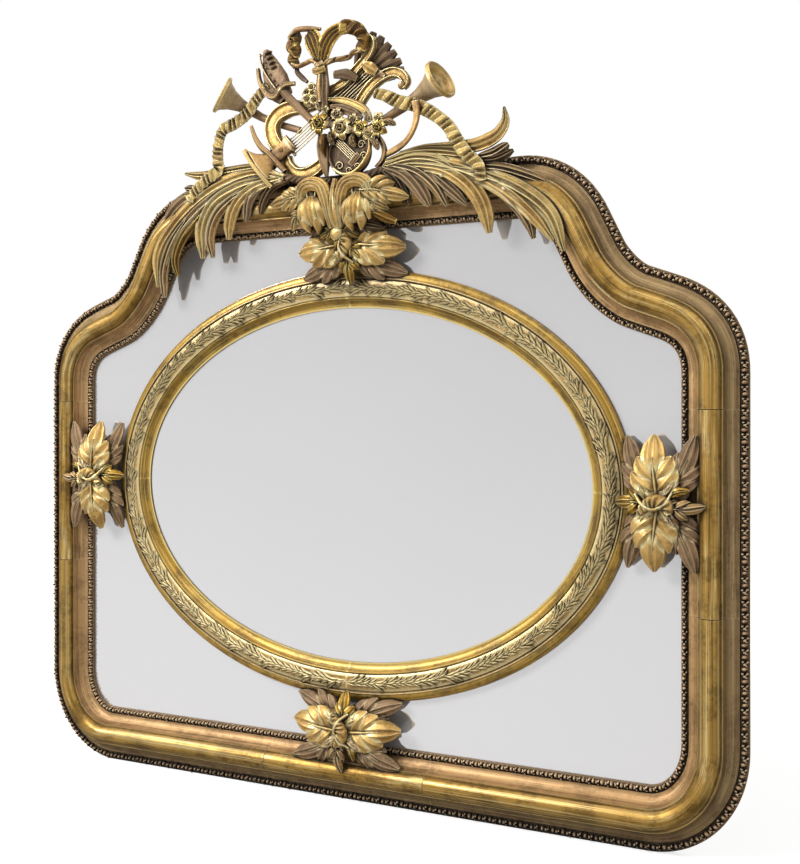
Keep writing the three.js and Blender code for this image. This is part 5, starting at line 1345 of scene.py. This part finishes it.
def area_light(name, place, aim, size, power):
    lamp = bpy.data.objects.new(name, bpy.data.lights.new(name, "AREA"))
    lamp.data.shape = "RECTANGLE"
    lamp.data.size, lamp.data.size_y = size
    lamp.data.energy = power
    lamp.location = place
    lamp.rotation_euler = (Vector(aim) - Vector(place)).to_track_quat("-Z", "Y").to_euler()
    bpy.context.scene.collection.objects.link(lamp)
    lamp.visible_camera = False


area_light("key", (-2.2, -2.7, 2.7), (0, 0, 0.5), (1.6, 1.1), 128)
area_light("fill", (2.8, -1.8, 1.0), (0, 0, 0.6), (0.9, 1.8), 5)
area_light("rim", (0.4, 1.8, 2.9), (0, 0, 0.9), (2.0, 0.8), 14)


WHITE = (1, 1, 1, 1)
FLOOR_SIZE, FLOOR_GAP = 14, 0.0005


def studio_world():
    """White behind the object; in its reflections a pale wall that brightens downwards, a bright ceiling
    panel and dark spaces between; and a soft grey fill."""
    world = bpy.data.worlds.new("studio")
    bpy.context.scene.world = world
    world.use_nodes = True
    nodes = Nodes(world.node_tree)
    nodes.tree.nodes.clear()
    camera_ray, bounce = nodes.rays()
    direction = nodes.node("ShaderNodeTexCoord", {}, {}, "Generated")
    across, depth, height = (nodes.node("ShaderNodeSeparateXYZ", {}, {0: direction},
                                        axis) for axis in range(3))
    wall = 0.64 + height.between(0.22, -0.32) * 0.34
    wall = wall * (0.52 + across.between(0.12, -0.10) * 0.48) * (0.45 + across.between(-0.86, -0.70) * 0.55)
    wall = wall * height.between(0.36, 0.24) * (0.35 + height.between(-0.56, -0.36) * 0.65)
    ceiling = height.between(0.52, 0.62) * depth.between(0.30, 0.10) * 1.9
    strip = across.between(0.66, 0.72) * across.between(0.92, 0.84) * depth.between(0.1, -0.1) * 0.7
    level = (wall + ceiling + strip) * (0.45 + depth.between(0.35, 0.0) * 0.55) + 0.05
    seen = nodes.node("ShaderNodeBackground", {}, {"Color": WHITE, "Strength": level})
    fill_light = nodes.node("ShaderNodeBackground", {}, {"Color": WHITE, "Strength": 0.38})
    backdrop = nodes.node("ShaderNodeBackground", {}, {"Color": WHITE, "Strength": 1.0})
    lit = nodes.node("ShaderNodeMixShader", {}, {0: bounce, 1: fill_light, 2: seen})
    whole = nodes.node("ShaderNodeMixShader", {}, {0: camera_ray, 1: lit, 2: backdrop})
    nodes.node("ShaderNodeOutputWorld", {}, {"Surface": whole}, None)


def studio_floor():
    """A white floor that keeps the object's shadow and isn't seen in the glass."""
    deselect()
    bpy.ops.mesh.primitive_plane_add(size=FLOOR_SIZE, location=(0, 0, cad_low.z - FLOOR_GAP))
    floor = bpy.context.object
    floor.name = "floor"
    material = bpy.data.materials.new("floor")
    material.use_nodes = True
    nodes = Nodes(material.node_tree)
    nodes.tree.nodes.clear()
    camera_ray, bounce = nodes.rays()
    place = nodes.node("ShaderNodeTexCoord", {}, {}, "Object")
    reach = nodes.node("ShaderNodeVectorMath", {"operation": "LENGTH"}, {0: place}, 1)
    pale = nodes.node("ShaderNodeBsdfDiffuse", {}, {"Color": (0.6, 0.6, 0.6, 1)})
    shine = 0.72 + reach.between(0.9, 2.0) * 0.4
    glow = nodes.node("ShaderNodeEmission", {}, {"Color": WHITE, "Strength": shine})
    seen = nodes.node("ShaderNodeAddShader", {}, {0: pale, 1: glow})
    clear = nodes.node("ShaderNodeBsdfTransparent", {}, {"Color": WHITE})
    other = nodes.node("ShaderNodeMixShader", {}, {0: bounce, 1: pale, 2: clear})
    whole = nodes.node("ShaderNodeMixShader", {}, {0: camera_ray, 1: other, 2: seen})
    nodes.node("ShaderNodeOutputMaterial", {}, {"Surface": whole}, None)
    floor.data.materials.append(material)


studio_world()
studio_floor()
bpy.context.scene.view_settings.view_transform = "Standard"
